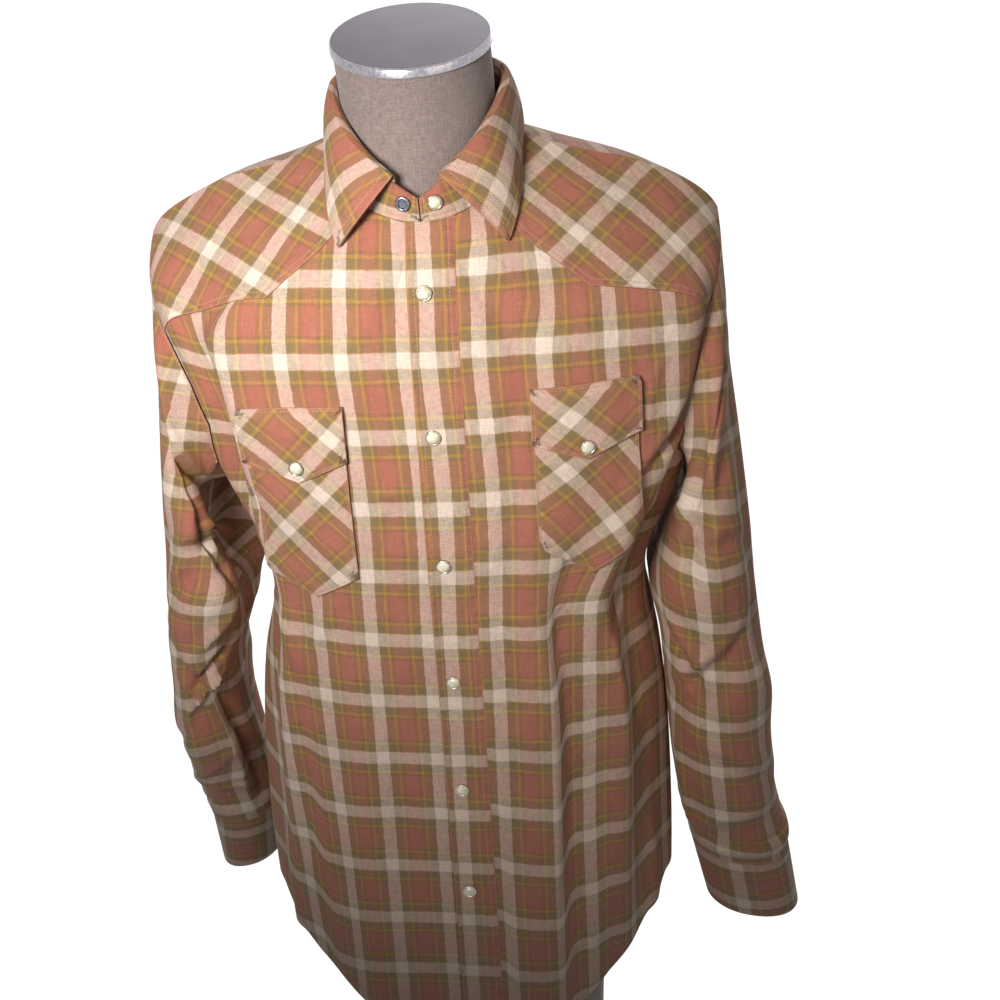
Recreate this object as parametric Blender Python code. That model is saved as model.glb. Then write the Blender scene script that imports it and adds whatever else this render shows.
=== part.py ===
"""Western snap shirt worn by a limbless dress form.

Units are metres, +Z is up, the shirt faces -Y and +X is the wearer's left.
The origin is the middle of the form's flat base.  Every cloth piece is a thin
wall laid over one body surface, whose shape comes from a table of rings and a
table of folds.  The fronts, back and yokes meet edge to edge on that surface,
and the placket, pockets and flaps lie on it, moved out.
"""
import math

import bmesh
import bpy
import mathutils
import numpy as np

# ---------------------------------------------------------------- driving sizes
NECK_POINT_HEIGHT = 0.872      # floor to the point where the neck meets the shoulder seam
CLOTH = 0.0013                 # thickness of the flannel wall
SEAM_GAP = 0.0003              # clearance between pieces that meet
ROUNDING = 0.00003             # keeps the clearance through rounding
PLACKET_LIFT = 0.0005          # clearance under the placket
OVERLAY_LIFT = 0.0014          # clearance under a piece that lies on a panel
COLLAR_CLOTH = 0.0018          # two plies and an interlining

PLACKET_LEFT_EDGE = -0.012     # free edge of the placket, from the centre line
PLACKET_RIGHT_EDGE = 0.022
SNAP_SPACING = 0.102
FIRST_SNAP_DROP = 0.107        # below the neck point, measured down
FRONT_SNAPS = 6
SNAP_RADIUS = 0.0056
SNAP_HEIGHT = 0.0032
SNAP_LIFT = 0.0004             # clearance under a snap
SLEEVE_CLEARANCE = 0.0016      # between a sleeve and the side it rests against

# ---------------------------------------------------------------- body rings
# Each row is one closed ring round the body, from the neck seam down.  The
# front, side and back columns are Y positions; drops are below the neck point.
RING_COLUMNS = ("half_width", "front", "side", "back",
                "drop_front", "drop_side", "drop_back", "squareness", "shift")
RINGS = {
    "neck seam":     (0.065, -0.072, -0.004, 0.058, 0.064, 0.017, 0.012, 2.0, -0.001),
    "collar spread": (0.104, -0.0895, 0.001, 0.080, 0.092, 0.032, 0.026, 2.1, 0.000),
    "mid shoulder":  (0.158, -0.0950, 0.004, 0.100, 0.122, 0.047, 0.050, 2.3, 0.000),
    "shoulder tip":  (0.208, -0.0990, 0.008, 0.110, 0.155, 0.080, 0.094, 2.6, -0.001),
    "upper armhole": (0.204, -0.1020, 0.010, 0.115, 0.195, 0.140, 0.155, 2.6, 0.001),
    "mid armhole":   (0.194, -0.1030, 0.010, 0.118, 0.240, 0.205, 0.220, 2.6, 0.003),
    "underarm":      (0.178, -0.1030, 0.009, 0.116, 0.295, 0.275, 0.285, 2.5, 0.003),
    "ribs":          (0.153, -0.1010, 0.008, 0.112, 0.360, 0.355, 0.360, 2.5, 0.000),
    "waist":         (0.166, -0.0980, 0.008, 0.108, 0.450, 0.450, 0.450, 2.5, -0.001),
    "hip":           (0.172, -0.0970, 0.006, 0.110, 0.590, 0.590, 0.590, 2.5, -0.003),
    "tail":          (0.180, -0.1030, 0.004, 0.116, 0.840, 0.840, 0.840, 2.4, -0.004),
}
TIP_ROW = 3.0
UNDERARM_ROW = 6.0

# ---------------------------------------------------------------- folds
# A fold follows a line from its top to its foot.  Angles are round the body in
# degrees, 0 at centre front and positive towards the wearer's left.  Widths are
# to each side of the line, heights stand out of the cloth (negative sinks in).
FOLD_COLUMNS = ("angle_top", "drop_top", "angle_foot", "drop_foot", "bow",
                "width_in", "width_out", "height_top", "height_mid", "height_foot")
FOLDS = {
    "right chest edge":     (-50, 0.110, -50, 0.270, 2, 0.022, 0.018, 0.002, 0.008, 0.003),
    "right armhole hollow": (-66, 0.130, -63, 0.300, 0, 0.018, 0.020, -0.003, -0.012, -0.004),
    "left chest edge":      (58, 0.110, 54, 0.210, 0, 0.022, 0.018, 0.002, 0.006, 0.002),
    "left armpit sweep":    (60, 0.190, 40, 0.360, -4, 0.024, 0.024, 0.003, 0.008, 0.003),
    "left armpit trough":   (70, 0.230, 56, 0.380, -3, 0.022, 0.022, -0.002, -0.007, -0.003),
    "left front step":      (21, 0.290, 18, 0.800, 0, 0.040, 0.016, 0.004, 0.012, 0.009),
    "left side step":       (42, 0.320, 44, 0.680, 2, 0.026, 0.016, 0.004, 0.010, 0.004),
    "right side step":      (-54, 0.320, -52, 0.680, 2, 0.016, 0.024, 0.004, 0.009, 0.004),
    "right front swell":    (-28, 0.420, -26, 0.800, 0, 0.034, 0.034, 0.001, 0.005, 0.006),
    "left seam fold":       (80, 0.440, 82, 0.660, 0, 0.018, 0.020, 0.001, 0.005, 0.003),
    "right seam fold":      (-80, 0.440, -82, 0.660, 0, 0.018, 0.020, 0.001, 0.005, 0.003),
    "back left shoulder":   (124, 0.200, 142, 0.440, -6, 0.022, 0.026, 0.002, 0.010, 0.003),
    "back right shoulder":  (-124, 0.200, -140, 0.460, 6, 0.022, 0.026, 0.002, 0.011, 0.003),
    "back left drop":       (152, 0.300, 148, 0.780, 0, 0.026, 0.020, 0.002, 0.012, 0.010),
    "back middle drop":     (178, 0.360, 174, 0.800, 3, 0.024, 0.028, 0.001, 0.010, 0.011),
    "back right drop":      (-148, 0.320, -152, 0.790, 0, 0.022, 0.026, 0.002, 0.012, 0.009),
    "back left side":       (112, 0.340, 116, 0.700, 0, 0.020, 0.022, 0.003, 0.011, 0.006),
    "back right side":      (-110, 0.340, -116, 0.700, 0, 0.022, 0.020, 0.003, 0.010, 0.007),
}
GIRTH_PER_DEGREE = 0.0027      # cloth round the body for one degree of angle
FOLD_END_FADE = 0.035          # length over which a fold dies out past its ends

# ---------------------------------------------------------------- hem and seams
# Drop of the shirttail hem round the body: centre front, side seams, centre back.
HEM = {
    -180: 0.800, -150: 0.790, -125: 0.742, -105: 0.678, -90: 0.655,
    -72: 0.661, -52: 0.686, -34: 0.730, -18: 0.772, 0: 0.784,
    18: 0.772, 36: 0.724, 56: 0.680, 74: 0.658, 90: 0.655,
    105: 0.672, 125: 0.732, 150: 0.786, 180: 0.800,
}
# Front edge of the armhole, as degrees forward of the side line, and its back edge.
ARMHOLE_COLUMNS = ("row", "forward", "backward")
ARMHOLE = (
    (3.0, 0.0, 0.0),
    (3.2, 12.0, 9.0),
    (3.6, 22.0, 15.0),
    (4.2, 29.0, 19.0),
    (4.8, 30.0, 19.0),
    (5.4, 24.0, 16.0),
    (5.8, 12.0, 9.0),
    (6.0, 0.0, 0.0),
)
YOKE_START_ANGLE = 42.0        # on the neck seam, under the collar
YOKE_CORNER = (39.0, 2.15)     # angle and ring row of the yoke's turned corner
YOKE_SEAM_SAG = 1.15           # above 1 the seam hangs low before it reaches the armhole
YOKE_ARMHOLE_ROW = 3.62        # where the front yoke seam meets the armhole
CHEST_ROW = 4.3                # the fronts' columns run straight down from here
BACK_YOKE_ARMHOLE_ROW = 3.55
BACK_YOKE_POINT_ROW = 4.15     # the shallow point at centre back
BACK_YOKE_SAG = 1.3

# ---------------------------------------------------------------- sleeves
# Sections of the sleeve below the armhole, in the wearer's left side's sense:
# outer and inner edge in X with their drops, middle and half depth in Y.
SLEEVE_COLUMNS = ("outer", "drop_outer", "inner", "drop_inner", "middle", "half_depth", "squareness")
SLEEVE_LEFT = {
    "cap":       (0.213, 0.135, 0.183, 0.292, 0.008, 0.066, 2.2),
    "upper arm": (0.223, 0.230, 0.168, 0.325, 0.004, 0.070, 2.3),
    "biceps":    (0.234, 0.320, 0.157, 0.375, -0.002, 0.068, 2.4),
    "elbow":     (0.243, 0.410, 0.164, 0.430, -0.010, 0.064, 2.4),
    "forearm":   (0.253, 0.500, 0.169, 0.505, -0.014, 0.058, 2.4),
    "low arm":   (0.265, 0.590, 0.179, 0.583, -0.012, 0.050, 2.3),
    "cuff seam": (0.276, 0.645, 0.190, 0.633, -0.008, 0.040, 2.2),
}
SLEEVE_RIGHT = {
    "cap":       (0.213, 0.135, 0.183, 0.292, 0.008, 0.066, 2.2),
    "upper arm": (0.223, 0.230, 0.170, 0.325, 0.006, 0.070, 2.3),
    "biceps":    (0.233, 0.320, 0.162, 0.375, 0.002, 0.068, 2.4),
    "elbow":     (0.243, 0.420, 0.186, 0.430, 0.000, 0.060, 2.4),
    "forearm":   (0.249, 0.520, 0.190, 0.490, 0.014, 0.052, 2.4),
    "low arm":   (0.257, 0.590, 0.190, 0.565, 0.042, 0.046, 2.3),
    "cuff seam": (0.254, 0.645, 0.189, 0.632, 0.060, 0.040, 2.2),
}
CUFF_LEFT_FOOT = (0.286, 0.705, 0.204, 0.692, -0.010, 0.036, 2.2)
CUFF_RIGHT_FOOT = (0.255, 0.706, 0.195, 0.694, 0.072, 0.038, 2.2)
# Creases across the sleeves: distance down, place round, slant, width, height.
SLEEVE_FOLD_COLUMNS = ("along", "around", "slant", "reach", "width", "height")
SLEEVE_FOLDS_LEFT = {
    "head break":    (0.30, 70, 0.10, 60, 0.050, -0.005),
    "armpit drag":   (0.42, 110, -0.12, 60, 0.060, 0.006),
    "elbow front":   (0.60, 90, 0.10, 60, 0.045, -0.005),
    "elbow outer":   (0.66, 20, -0.08, 50, 0.050, 0.005),
    "wrist break":   (0.88, 80, 0.06, 80, 0.040, -0.004),
    "wrist roll":    (0.95, 60, 0.03, 90, 0.035, 0.005),
    "elbow back":    (0.62, 270, 0.10, 60, 0.050, -0.006),
    "armpit back":   (0.36, 240, -0.10, 60, 0.055, 0.006),
}
SLEEVE_FOLDS_RIGHT = {
    "head break":    (0.24, 75, 0.10, 60, 0.045, -0.005),
    "armpit drag":   (0.40, 120, -0.16, 60, 0.060, 0.008),
    "drag hollow":   (0.34, 100, -0.12, 60, 0.045, -0.006),
    "elbow front":   (0.64, 100, 0.12, 60, 0.050, -0.008),
    "elbow outer":   (0.74, 10, -0.06, 60, 0.040, -0.003),
    "elbow roll":    (0.70, 40, 0.10, 60, 0.045, 0.006),
    "wrist break":   (0.90, 80, 0.06, 80, 0.040, -0.004),
    "elbow back":    (0.68, 260, 0.10, 60, 0.050, 0.006),
    "armpit back":   (0.36, 240, -0.10, 60, 0.055, 0.006),
}

# ---------------------------------------------------------------- pockets
# In metres on the front: X of each side and drops, mirrored for the wearer's right.
POCKET_COLUMNS = ("inner", "outer", "flap_top", "flap_side", "flap_point",
                  "bottom_side", "bottom_point", "tilt")
POCKET_LEFT = (0.0700, 0.1430, 0.178, 0.218, 0.233, 0.298, 0.325, -0.003)
POCKET_RIGHT = (0.0640, 0.1355, 0.185, 0.226, 0.242, 0.322, 0.342, 0.002)
FLAP_OVERHANG = 0.0015
FLAP_ROWS = (0.0, 0.10, 0.40, 0.70, 1.0)
FLAP_RISE = (0.0, 1.0, 1.0, 1.0, 1.0)     # the flap is sewn down along its top edge
POCKET_MOUTH_DROP = 0.006      # the pocket's mouth lies under the flap's top edge
FLAP_SNAP_RISE = 0.011         # the snap stands this far above the flap's point

# ---------------------------------------------------------------- collar
# From a front end (0) to centre back (1): the fold line's place, and the angle,
# ring row and lift of the outer edge, which lies on the shirt.
COLLAR_COLUMNS = ("fold_x", "fold_y", "fold_drop", "edge_angle", "edge_row", "edge_lift", "bulge")
COLLAR = (
    (0.0160, -0.0780, 0.0310, 34.0, 0.92, 0.0045, 0.001),
    (0.0440, -0.0610, 0.0090, 52.0, 0.55, 0.0045, 0.003),
    (0.0610, -0.0250, -0.0140, 76.0, 0.20, 0.0050, 0.002),
    (0.0620, 0.0080, -0.0230, 100.0, 0.18, 0.0050, 0.002),
    (0.0440, 0.0420, -0.0280, 135.0, 0.26, 0.0050, 0.003),
    (0.0000, 0.0560, -0.0300, 180.0, 0.30, 0.0050, 0.004),
)
COLLAR_STEPS = 32
FOLD_PLACES = (-1.0, -0.12, -0.06, 0.0)   # seam, inner shoulder, crest and outer shoulder
FOLD_SHOULDER = 0.0010         # the fold's roundness
FALL_SEAT_RISE = 0.0005        # the fall's inner ply starts this far over the stand
STAND_END_ANGLE = 0.9          # half the gap between the stand's ends at the front
STAND_SEAM_RISE = 0.0010       # the stand's foot over the neck seam
COLLAR_SHIFT = -0.0015         # the collar sits a little to the wearer's right
STAND_TOP = (0.0592, -0.0750, -0.004, 0.0510, 0.038, -0.015, -0.021, 2.0, COLLAR_SHIFT)

# ---------------------------------------------------------------- dress form
FORM_CLEARANCE = 0.0016        # under the yokes, where the shirt hangs on the form
FORM_BACK_EASE = 0.0040        # more room behind the shoulder line
FORM_RINGS = {
    "neck seam":     (0.0570, -0.062, -0.004, 0.049, 0.066, 0.022, 0.017, 2.0, -0.002),
    "collar spread": (0.0990, -0.085, 0.001, 0.075, 0.094, 0.036, 0.030, 2.1, 0.000),
    "mid shoulder":  (0.1530, -0.090, 0.004, 0.095, 0.124, 0.052, 0.055, 2.3, 0.000),
    "shoulder tip":  (0.2020, -0.092, 0.008, 0.100, 0.157, 0.086, 0.098, 2.5, 0.000),
    "upper armhole": (0.1860, -0.092, 0.010, 0.101, 0.195, 0.145, 0.160, 2.4, 0.000),
    "mid armhole":   (0.1660, -0.091, 0.010, 0.099, 0.240, 0.210, 0.225, 2.3, 0.000),
    "underarm":      (0.1460, -0.089, 0.009, 0.095, 0.295, 0.285, 0.290, 2.3, 0.000),
    "ribs":          (0.1310, -0.085, 0.008, 0.088, 0.360, 0.355, 0.360, 2.3, 0.000),
    "waist":         (0.1260, -0.078, 0.008, 0.082, 0.450, 0.450, 0.450, 2.3, 0.000),
    "hip":           (0.1250, -0.074, 0.004, 0.084, 0.590, 0.590, 0.590, 2.3, 0.000),
    "seat":          (0.1140, -0.070, 0.002, 0.078, 0.720, 0.720, 0.720, 2.3, 0.000),
    "base":          (0.1080, -0.070, 0.000, 0.070, 0.872, 0.872, 0.872, 2.3, 0.000),
}
NECK_COLUMNS = ("radius_x", "radius_y", "shift", "middle", "drop", "slope")
FORM_NECK = {
    "root":   (0.0545, 0.0530, -0.003, -0.008, 0.012, 0.57),
    "middle": (0.0540, 0.0515, -0.003, -0.013, -0.018, 0.35),
    "top":    (0.0540, 0.0510, -0.004, -0.019, -0.046, 0.29),
}
CAP_RADIUS_X = 0.0558
CAP_RADIUS_Y = 0.0528
CAP_PROFILE = ((1.0, 0.0004), (1.0, 0.0046), (0.95, 0.0065), (0.5, 0.0073))   # share of radius, rise

# ---------------------------------------------------------------- colours
FINISHES = {
    "flannel": ((0.42, 0.17, 0.12), 0.90, 0.0),
    "flannel_bias": ((0.50, 0.23, 0.16), 0.90, 0.0),
    "pearl": ((0.80, 0.75, 0.60), 0.25, 0.0),
    "stud": ((0.35, 0.36, 0.40), 0.30, 1.0),
    "linen": ((0.40, 0.36, 0.31), 0.95, 0.0),
    "brushed_metal": ((0.45, 0.43, 0.45), 0.30, 1.0),
}


def clear_scene():
    for item in list(bpy.data.objects):
        bpy.data.objects.remove(item, do_unlink=True)


def finish_for(node, finish):
    """One material for each node, in the finish's colour."""
    colour, roughness, metallic = FINISHES[finish]
    material = bpy.data.materials.new(node + "_" + finish)
    material.use_nodes = True
    shader = material.node_tree.nodes["Principled BSDF"]
    shader.inputs["Base Color"].default_value = (*colour, 1.0)
    shader.inputs["Roughness"].default_value = roughness
    shader.inputs["Metallic"].default_value = metallic
    return material


# ---------------------------------------------------------------- tables
def named(columns, values):
    """Table values under their column names, for one row or an array of rows."""
    return dict(zip(columns, np.moveaxis(np.asarray(values, float), -1, 0)))


def smooth_rows(rows, place):
    """Catmull-Rom curve through table rows, at places counted in rows."""
    rows = np.asarray(rows, dtype=float)
    place = np.clip(np.asarray(place, dtype=float), 0.0, len(rows) - 1.0)
    index = np.minimum(place.astype(int), len(rows) - 2)
    t = place - index
    before = rows[np.maximum(index - 1, 0)]
    start, end = rows[index], rows[index + 1]
    after = rows[np.minimum(index + 2, len(rows) - 1)]
    shape = t.shape + (1,) * (rows.ndim - 1)
    t = t.reshape(shape)
    slope_in = 0.5 * (end - before)
    slope_out = 0.5 * (after - start)
    return ((2 * t**3 - 3 * t**2 + 1) * start + (t**3 - 2 * t**2 + t) * slope_in
            + (3 * t**2 - 2 * t**3) * end + (t**3 - t**2) * slope_out)


def smooth_step(low, high, value):
    t = np.clip((value - low) / (high - low), 0.0, 1.0)
    return t * t * (3.0 - 2.0 * t)


def ring_points(rings, angle, row):
    """Points of a ring table: angle in degrees round the body, row down it."""
    angle, row = np.broadcast_arrays(np.asarray(angle, float), np.asarray(row, float))
    ring = named(RING_COLUMNS, smooth_rows(list(rings.values()), row))
    sine, cosine = np.sin(np.radians(angle)), np.cos(np.radians(angle))
    power = 2.0 / ring["squareness"]
    x = ring["shift"] + ring["half_width"] * np.sign(sine) * np.abs(sine) ** power
    depth = np.abs(cosine) ** power
    y_end = np.where(cosine >= 0.0, ring["front"], ring["back"])
    drop_end = np.where(cosine >= 0.0, ring["drop_front"], ring["drop_back"])
    y = ring["side"] + (y_end - ring["side"]) * depth
    drop = ring["drop_side"] + (drop_end - ring["drop_side"]) * depth
    return np.stack([x, y, NECK_POINT_HEIGHT - drop], axis=-1)


def surface_normal(surface, angle, row):
    """Outward normal by central differences of a surface function."""
    small_angle, small_row = 0.6, 0.03
    along = surface(angle + small_angle, row) - surface(angle - small_angle, row)
    down = surface(angle, row + small_row) - surface(angle, row - small_row)
    normal = np.cross(down, along)
    return normal / np.linalg.norm(normal, axis=-1, keepdims=True)


def fold_height(angle, drop):
    """Sum of the folds at places round and down the body."""
    total = np.zeros_like(drop)
    for values in FOLDS.values():
        fold = dict(zip(FOLD_COLUMNS, values))
        length = fold["drop_foot"] - fold["drop_top"]
        t = (drop - fold["drop_top"]) / length
        inside = np.clip(t, 0.0, 1.0)
        line = (fold["angle_top"] + (fold["angle_foot"] - fold["angle_top"]) * inside
                + fold["bow"] * 4.0 * inside * (1.0 - inside))
        aside = (angle - line + 180.0) % 360.0 - 180.0
        aside = aside * GIRTH_PER_DEGREE
        width = np.where(aside < 0.0, fold["width_in"], fold["width_out"])
        height = (fold["height_top"] * (1 - inside) * (1 - 2 * inside)
                  + fold["height_mid"] * 4 * inside * (1 - inside)
                  + fold["height_foot"] * inside * (2 * inside - 1))
        overrun = np.abs(t - inside) * length / FOLD_END_FADE
        total = total + height * np.exp(-(aside / width) ** 2 - overrun**2)
    return total


def body_base(angle, row):
    return ring_points(RINGS, angle, row)


def body(angle, row, lift=0.0):
    """The cloth's outer face over the body, lifted along the smooth normal."""
    angle, row = np.broadcast_arrays(np.asarray(angle, float), np.asarray(row, float))
    point = body_base(angle, row)
    normal = surface_normal(body_base, angle, row)
    folds = fold_height(angle, NECK_POINT_HEIGHT - point[..., 2])
    return point + normal * (folds + lift)[..., None]


def row_at_drop(angle, drop):
    """Ring row at which the body's surface reaches a drop, for each angle."""
    angle, drop = np.broadcast_arrays(np.asarray(angle, float), np.asarray(drop, float))
    rows = np.linspace(0.0, len(RINGS) - 1.0, 401)
    result = np.empty(angle.shape)
    for index in np.ndindex(angle.shape):
        drops = NECK_POINT_HEIGHT - body_base(angle[index], rows)[:, 2]
        result[index] = np.interp(drop[index], drops, rows)
    return result


def angle_at_x(x, row):
    """Angle on the front where the body's surface reaches a sideways place."""
    x, row = np.broadcast_arrays(np.asarray(x, float), np.asarray(row, float))
    angles = np.linspace(-89.0, 89.0, 357)
    result = np.empty(x.shape)
    for index in np.ndindex(x.shape):
        reach = body_base(angles, row[index])[:, 0]
        result[index] = np.interp(x[index], reach, angles)
    return result


def hem_row(angle):
    drop = np.interp(angle, list(HEM), list(HEM.values()))
    return row_at_drop(angle, drop)


def armhole_angle(row, edge):
    """Angle of the armhole's forward or backward edge at a row, on the left side."""
    table = named(ARMHOLE_COLUMNS, ARMHOLE)
    reach = np.interp(row, table["row"], table[edge])
    return 90.0 - reach if edge == "forward" else 90.0 + reach


# ---------------------------------------------------------------- walls
def cloth_wall(name, outer, inner, finish, closed=False):
    """A closed wall between two grids of points, made by extruding a grid."""
    columns, rows = outer.shape[0], outer.shape[1]
    mesh = bmesh.new()
    wide = columns if not closed else columns + 1
    bmesh.ops.create_grid(mesh, x_segments=wide - 1, y_segments=rows - 1, size=0.5)
    inside = mesh.verts.layers.float_vector.new("inside")
    for vertex in mesh.verts:
        i = round((vertex.co.x + 0.5) * (wide - 1)) % columns
        j = round((vertex.co.y + 0.5) * (rows - 1))
        vertex.co = outer[i, j]
        vertex[inside] = inner[i, j]
    if closed:
        bmesh.ops.remove_doubles(mesh, verts=mesh.verts[:], dist=1e-7)
    grown = bmesh.ops.extrude_face_region(mesh, geom=mesh.faces[:])
    for item in grown["geom"]:
        if isinstance(item, bmesh.types.BMVert):
            item.co = item[inside]
    bmesh.ops.recalc_face_normals(mesh, faces=mesh.faces[:])
    return add_object(name, mesh, finish)


def add_object(name, mesh, finish):
    data = bpy.data.meshes.new(name)
    mesh.to_mesh(data)
    mesh.free()
    data.materials.append(finish_for(name, finish))
    data.shade_smooth()
    data.set_sharp_from_angle(angle=math.radians(40))
    item = bpy.data.objects.new(name, data)
    bpy.context.scene.collection.objects.link(item)
    return item


def trim(points, edges):
    """Pull the named edges of a grid back by half a seam gap."""
    points = points.copy()
    half = 0.5 * SEAM_GAP + ROUNDING
    for edge in edges:
        near, next_in = {"first_column": (np.s_[0], np.s_[1]),
                         "last_column": (np.s_[-1], np.s_[-2]),
                         "first_row": (np.s_[:, 0], np.s_[:, 1]),
                         "last_row": (np.s_[:, -1], np.s_[:, -2])}[edge]
        step = points[next_in] - points[near]
        points[near] = points[near] + half * step / np.linalg.norm(step, axis=-1, keepdims=True)
    return points


def body_panel(name, angle, row, finish, edges, lift=0.0, thickness=CLOTH):
    """A wall over the body between two lifts, from grids of angle and row."""
    outer = trim(body(angle, row, lift), edges)
    inner = trim(body(angle, row, lift - thickness), edges)
    return cloth_wall(name, outer, inner, finish)


# ---------------------------------------------------------------- fronts, back and yokes
NECK_STEPS = 4                 # grid steps along each stretch of a panel's edges
TURN_STEPS = 4
YOKE_STEPS = 6
UPPER_STEPS = 5
ARMHOLE_STEPS = 7
BODY_STEPS = 13
YOKE_DEPTH_STEPS = 6
BACK_STEPS = 20
FRONT_MEETING = {1: 0.0105, -1: 0.0100}   # X of each front's edge under the placket


def joined(*stretches):
    """Chain stretches of places, leaving out the repeated ends."""
    chain = [stretches[0]] + [stretch[1:] for stretch in stretches[1:]]
    return np.concatenate(chain)


def between(start, end, steps):
    return np.linspace(start, end, steps + 1)


def front_top(side, meeting_angle):
    """Angles and rows of a front's top edge: neck seam, yoke turn, yoke seam."""
    corner_angle, corner_row = YOKE_CORNER
    end_angle = armhole_angle(YOKE_ARMHOLE_ROW, "forward")
    angle = joined(between(side * meeting_angle, YOKE_START_ANGLE, NECK_STEPS),
                   between(YOKE_START_ANGLE, corner_angle, TURN_STEPS),
                   between(corner_angle, end_angle, YOKE_STEPS))
    sag = between(0, 1, YOKE_STEPS) ** YOKE_SEAM_SAG
    seam_row = corner_row + (YOKE_ARMHOLE_ROW - corner_row) * sag
    row = joined(between(0.0, 0.0, NECK_STEPS), between(0.0, corner_row, TURN_STEPS), seam_row)
    return side * angle, row


def make_front(name, side):
    meeting = FRONT_MEETING[side]
    top_angle, top_row = front_top(side, angle_at_x(meeting, 0.0))
    columns = len(top_angle)
    fraction = between(0.0, 1.0, columns - 1)
    hem = hem_row(side * 90.0 * fraction)
    lower = joined(between(CHEST_ROW, UNDERARM_ROW, ARMHOLE_STEPS),
                   between(UNDERARM_ROW, UNDERARM_ROW + 1.0, BODY_STEPS))
    outer_edge = side * armhole_angle(np.minimum(lower, UNDERARM_ROW), "forward")
    angle = np.empty((columns, UPPER_STEPS + len(lower)))
    row = np.empty_like(angle)
    slide = between(0.0, 1.0, UPPER_STEPS)
    start_angle = angle_at_x(meeting, CHEST_ROW)
    armhole_row = YOKE_ARMHOLE_ROW + (CHEST_ROW - YOKE_ARMHOLE_ROW) * slide
    straight = top_angle[-1] + (outer_edge[0] - top_angle[-1]) * slide
    curve = side * armhole_angle(armhole_row, "forward") - straight
    for k in range(columns):
        level = start_angle + (outer_edge[0] - start_angle) * fraction[k]
        upper_angle = top_angle[k] + (level - top_angle[k]) * slide + curve * fraction[k] ** 4
        upper_row = top_row[k] + (CHEST_ROW - top_row[k]) * slide
        share = np.clip(lower - UNDERARM_ROW, 0.0, 1.0)
        lower_row = np.minimum(lower, UNDERARM_ROW) + (hem[k] - UNDERARM_ROW) * share
        inner = angle_at_x(meeting, lower_row)
        angle[k] = joined(upper_angle, inner + (outer_edge - inner) * fraction[k])
        row[k] = joined(upper_row, lower_row)
    return body_panel(name, angle, row, "flannel",
                      ("first_row", "first_column", "last_column"))


def make_front_yoke(name, side):
    meeting_top = angle_at_x(FRONT_MEETING[side], 0.0)
    top_angle, top_row = front_top(side, meeting_top)
    seam_angle, seam_row = side * top_angle[NECK_STEPS:], top_row[NECK_STEPS:]
    count = len(seam_angle)
    share = between(0.0, 1.0, YOKE_DEPTH_STEPS)
    shoulder_row = between(0.0, TIP_ROW, count - 1)
    along = between(0.0, 1.0, count - 1)
    angle = seam_angle[:, None] + (90.0 - seam_angle[:, None]) * share
    row = seam_row[:, None] + (shoulder_row[:, None] - seam_row[:, None]) * share
    edge = armhole_angle(row[-1], "forward")
    angle = angle + along[:, None] ** 4 * (edge - angle[-1])
    return body_panel(name, side * angle, row, "flannel_bias",
                      ("first_row", "last_row", "first_column", "last_column"))


def back_seam():
    """Angles and rows of the back yoke seam, from the wearer's left armhole round."""
    start = armhole_angle(BACK_YOKE_ARMHOLE_ROW, "backward")
    across = between(0.0, 1.0, BACK_STEPS)
    angle = start + (360.0 - 2.0 * start) * across
    rise = 1.0 - np.abs(2.0 * across - 1.0)
    row = BACK_YOKE_ARMHOLE_ROW + (BACK_YOKE_POINT_ROW - BACK_YOKE_ARMHOLE_ROW) * rise**BACK_YOKE_SAG
    return angle, row


def wrapped(angle):
    return (angle + 180.0) % 360.0 - 180.0


def make_back(name):
    seam_angle, seam_row = back_seam()
    across = between(0.0, 1.0, BACK_STEPS)
    upper = between(0.0, 1.0, ARMHOLE_STEPS)
    hem = hem_row(wrapped(90.0 + 180.0 * across))
    row_upper = seam_row[:, None] + (UNDERARM_ROW - seam_row[:, None]) * upper
    share = between(0.0, 1.0, BODY_STEPS)
    row_lower = UNDERARM_ROW + (hem[:, None] - UNDERARM_ROW) * share
    row = np.concatenate([row_upper, row_lower[:, 1:]], axis=1)
    edge_row = BACK_YOKE_ARMHOLE_ROW + (UNDERARM_ROW - BACK_YOKE_ARMHOLE_ROW) * upper
    edge = armhole_angle(edge_row, "backward")
    edge = np.concatenate([edge, np.full(BODY_STEPS, 90.0)])
    angle = edge + (360.0 - 2.0 * edge) * across[:, None]
    return body_panel(name, angle, row, "flannel", ("first_row", "first_column", "last_column"))


def make_back_yoke(name):
    seam_angle, seam_row = back_seam()
    steps = TURN_STEPS + YOKE_STEPS
    neck_steps = 8
    top_row = joined(between(TIP_ROW, 0.0, steps), between(0.0, 0.0, neck_steps),
                     between(0.0, TIP_ROW, steps))
    top_angle = joined(between(90.0, 90.0, steps), between(90.0, 270.0, neck_steps),
                       between(270.0, 270.0, steps))
    across = np.arange(len(top_row)) / (len(top_row) - 1.0)
    bottom_angle = np.interp(across, between(0, 1, BACK_STEPS), seam_angle)
    bottom_row = np.interp(across, between(0, 1, BACK_STEPS), seam_row)
    share = between(0.0, 1.0, YOKE_DEPTH_STEPS)
    angle = bottom_angle[:, None] + (top_angle[:, None] - bottom_angle[:, None]) * share
    row = bottom_row[:, None] + (top_row[:, None] - bottom_row[:, None]) * share
    edge = armhole_angle(row[0], "backward")
    pull = np.abs(2.0 * across[:, None] - 1.0) ** 12
    near_left = across[:, None] < 0.5
    angle = angle + pull * np.where(near_left, edge - angle[0], (360.0 - edge) - angle[-1])
    return body_panel(name, angle, row, "flannel_bias",
                      ("first_row", "last_row", "first_column", "last_column"))


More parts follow.
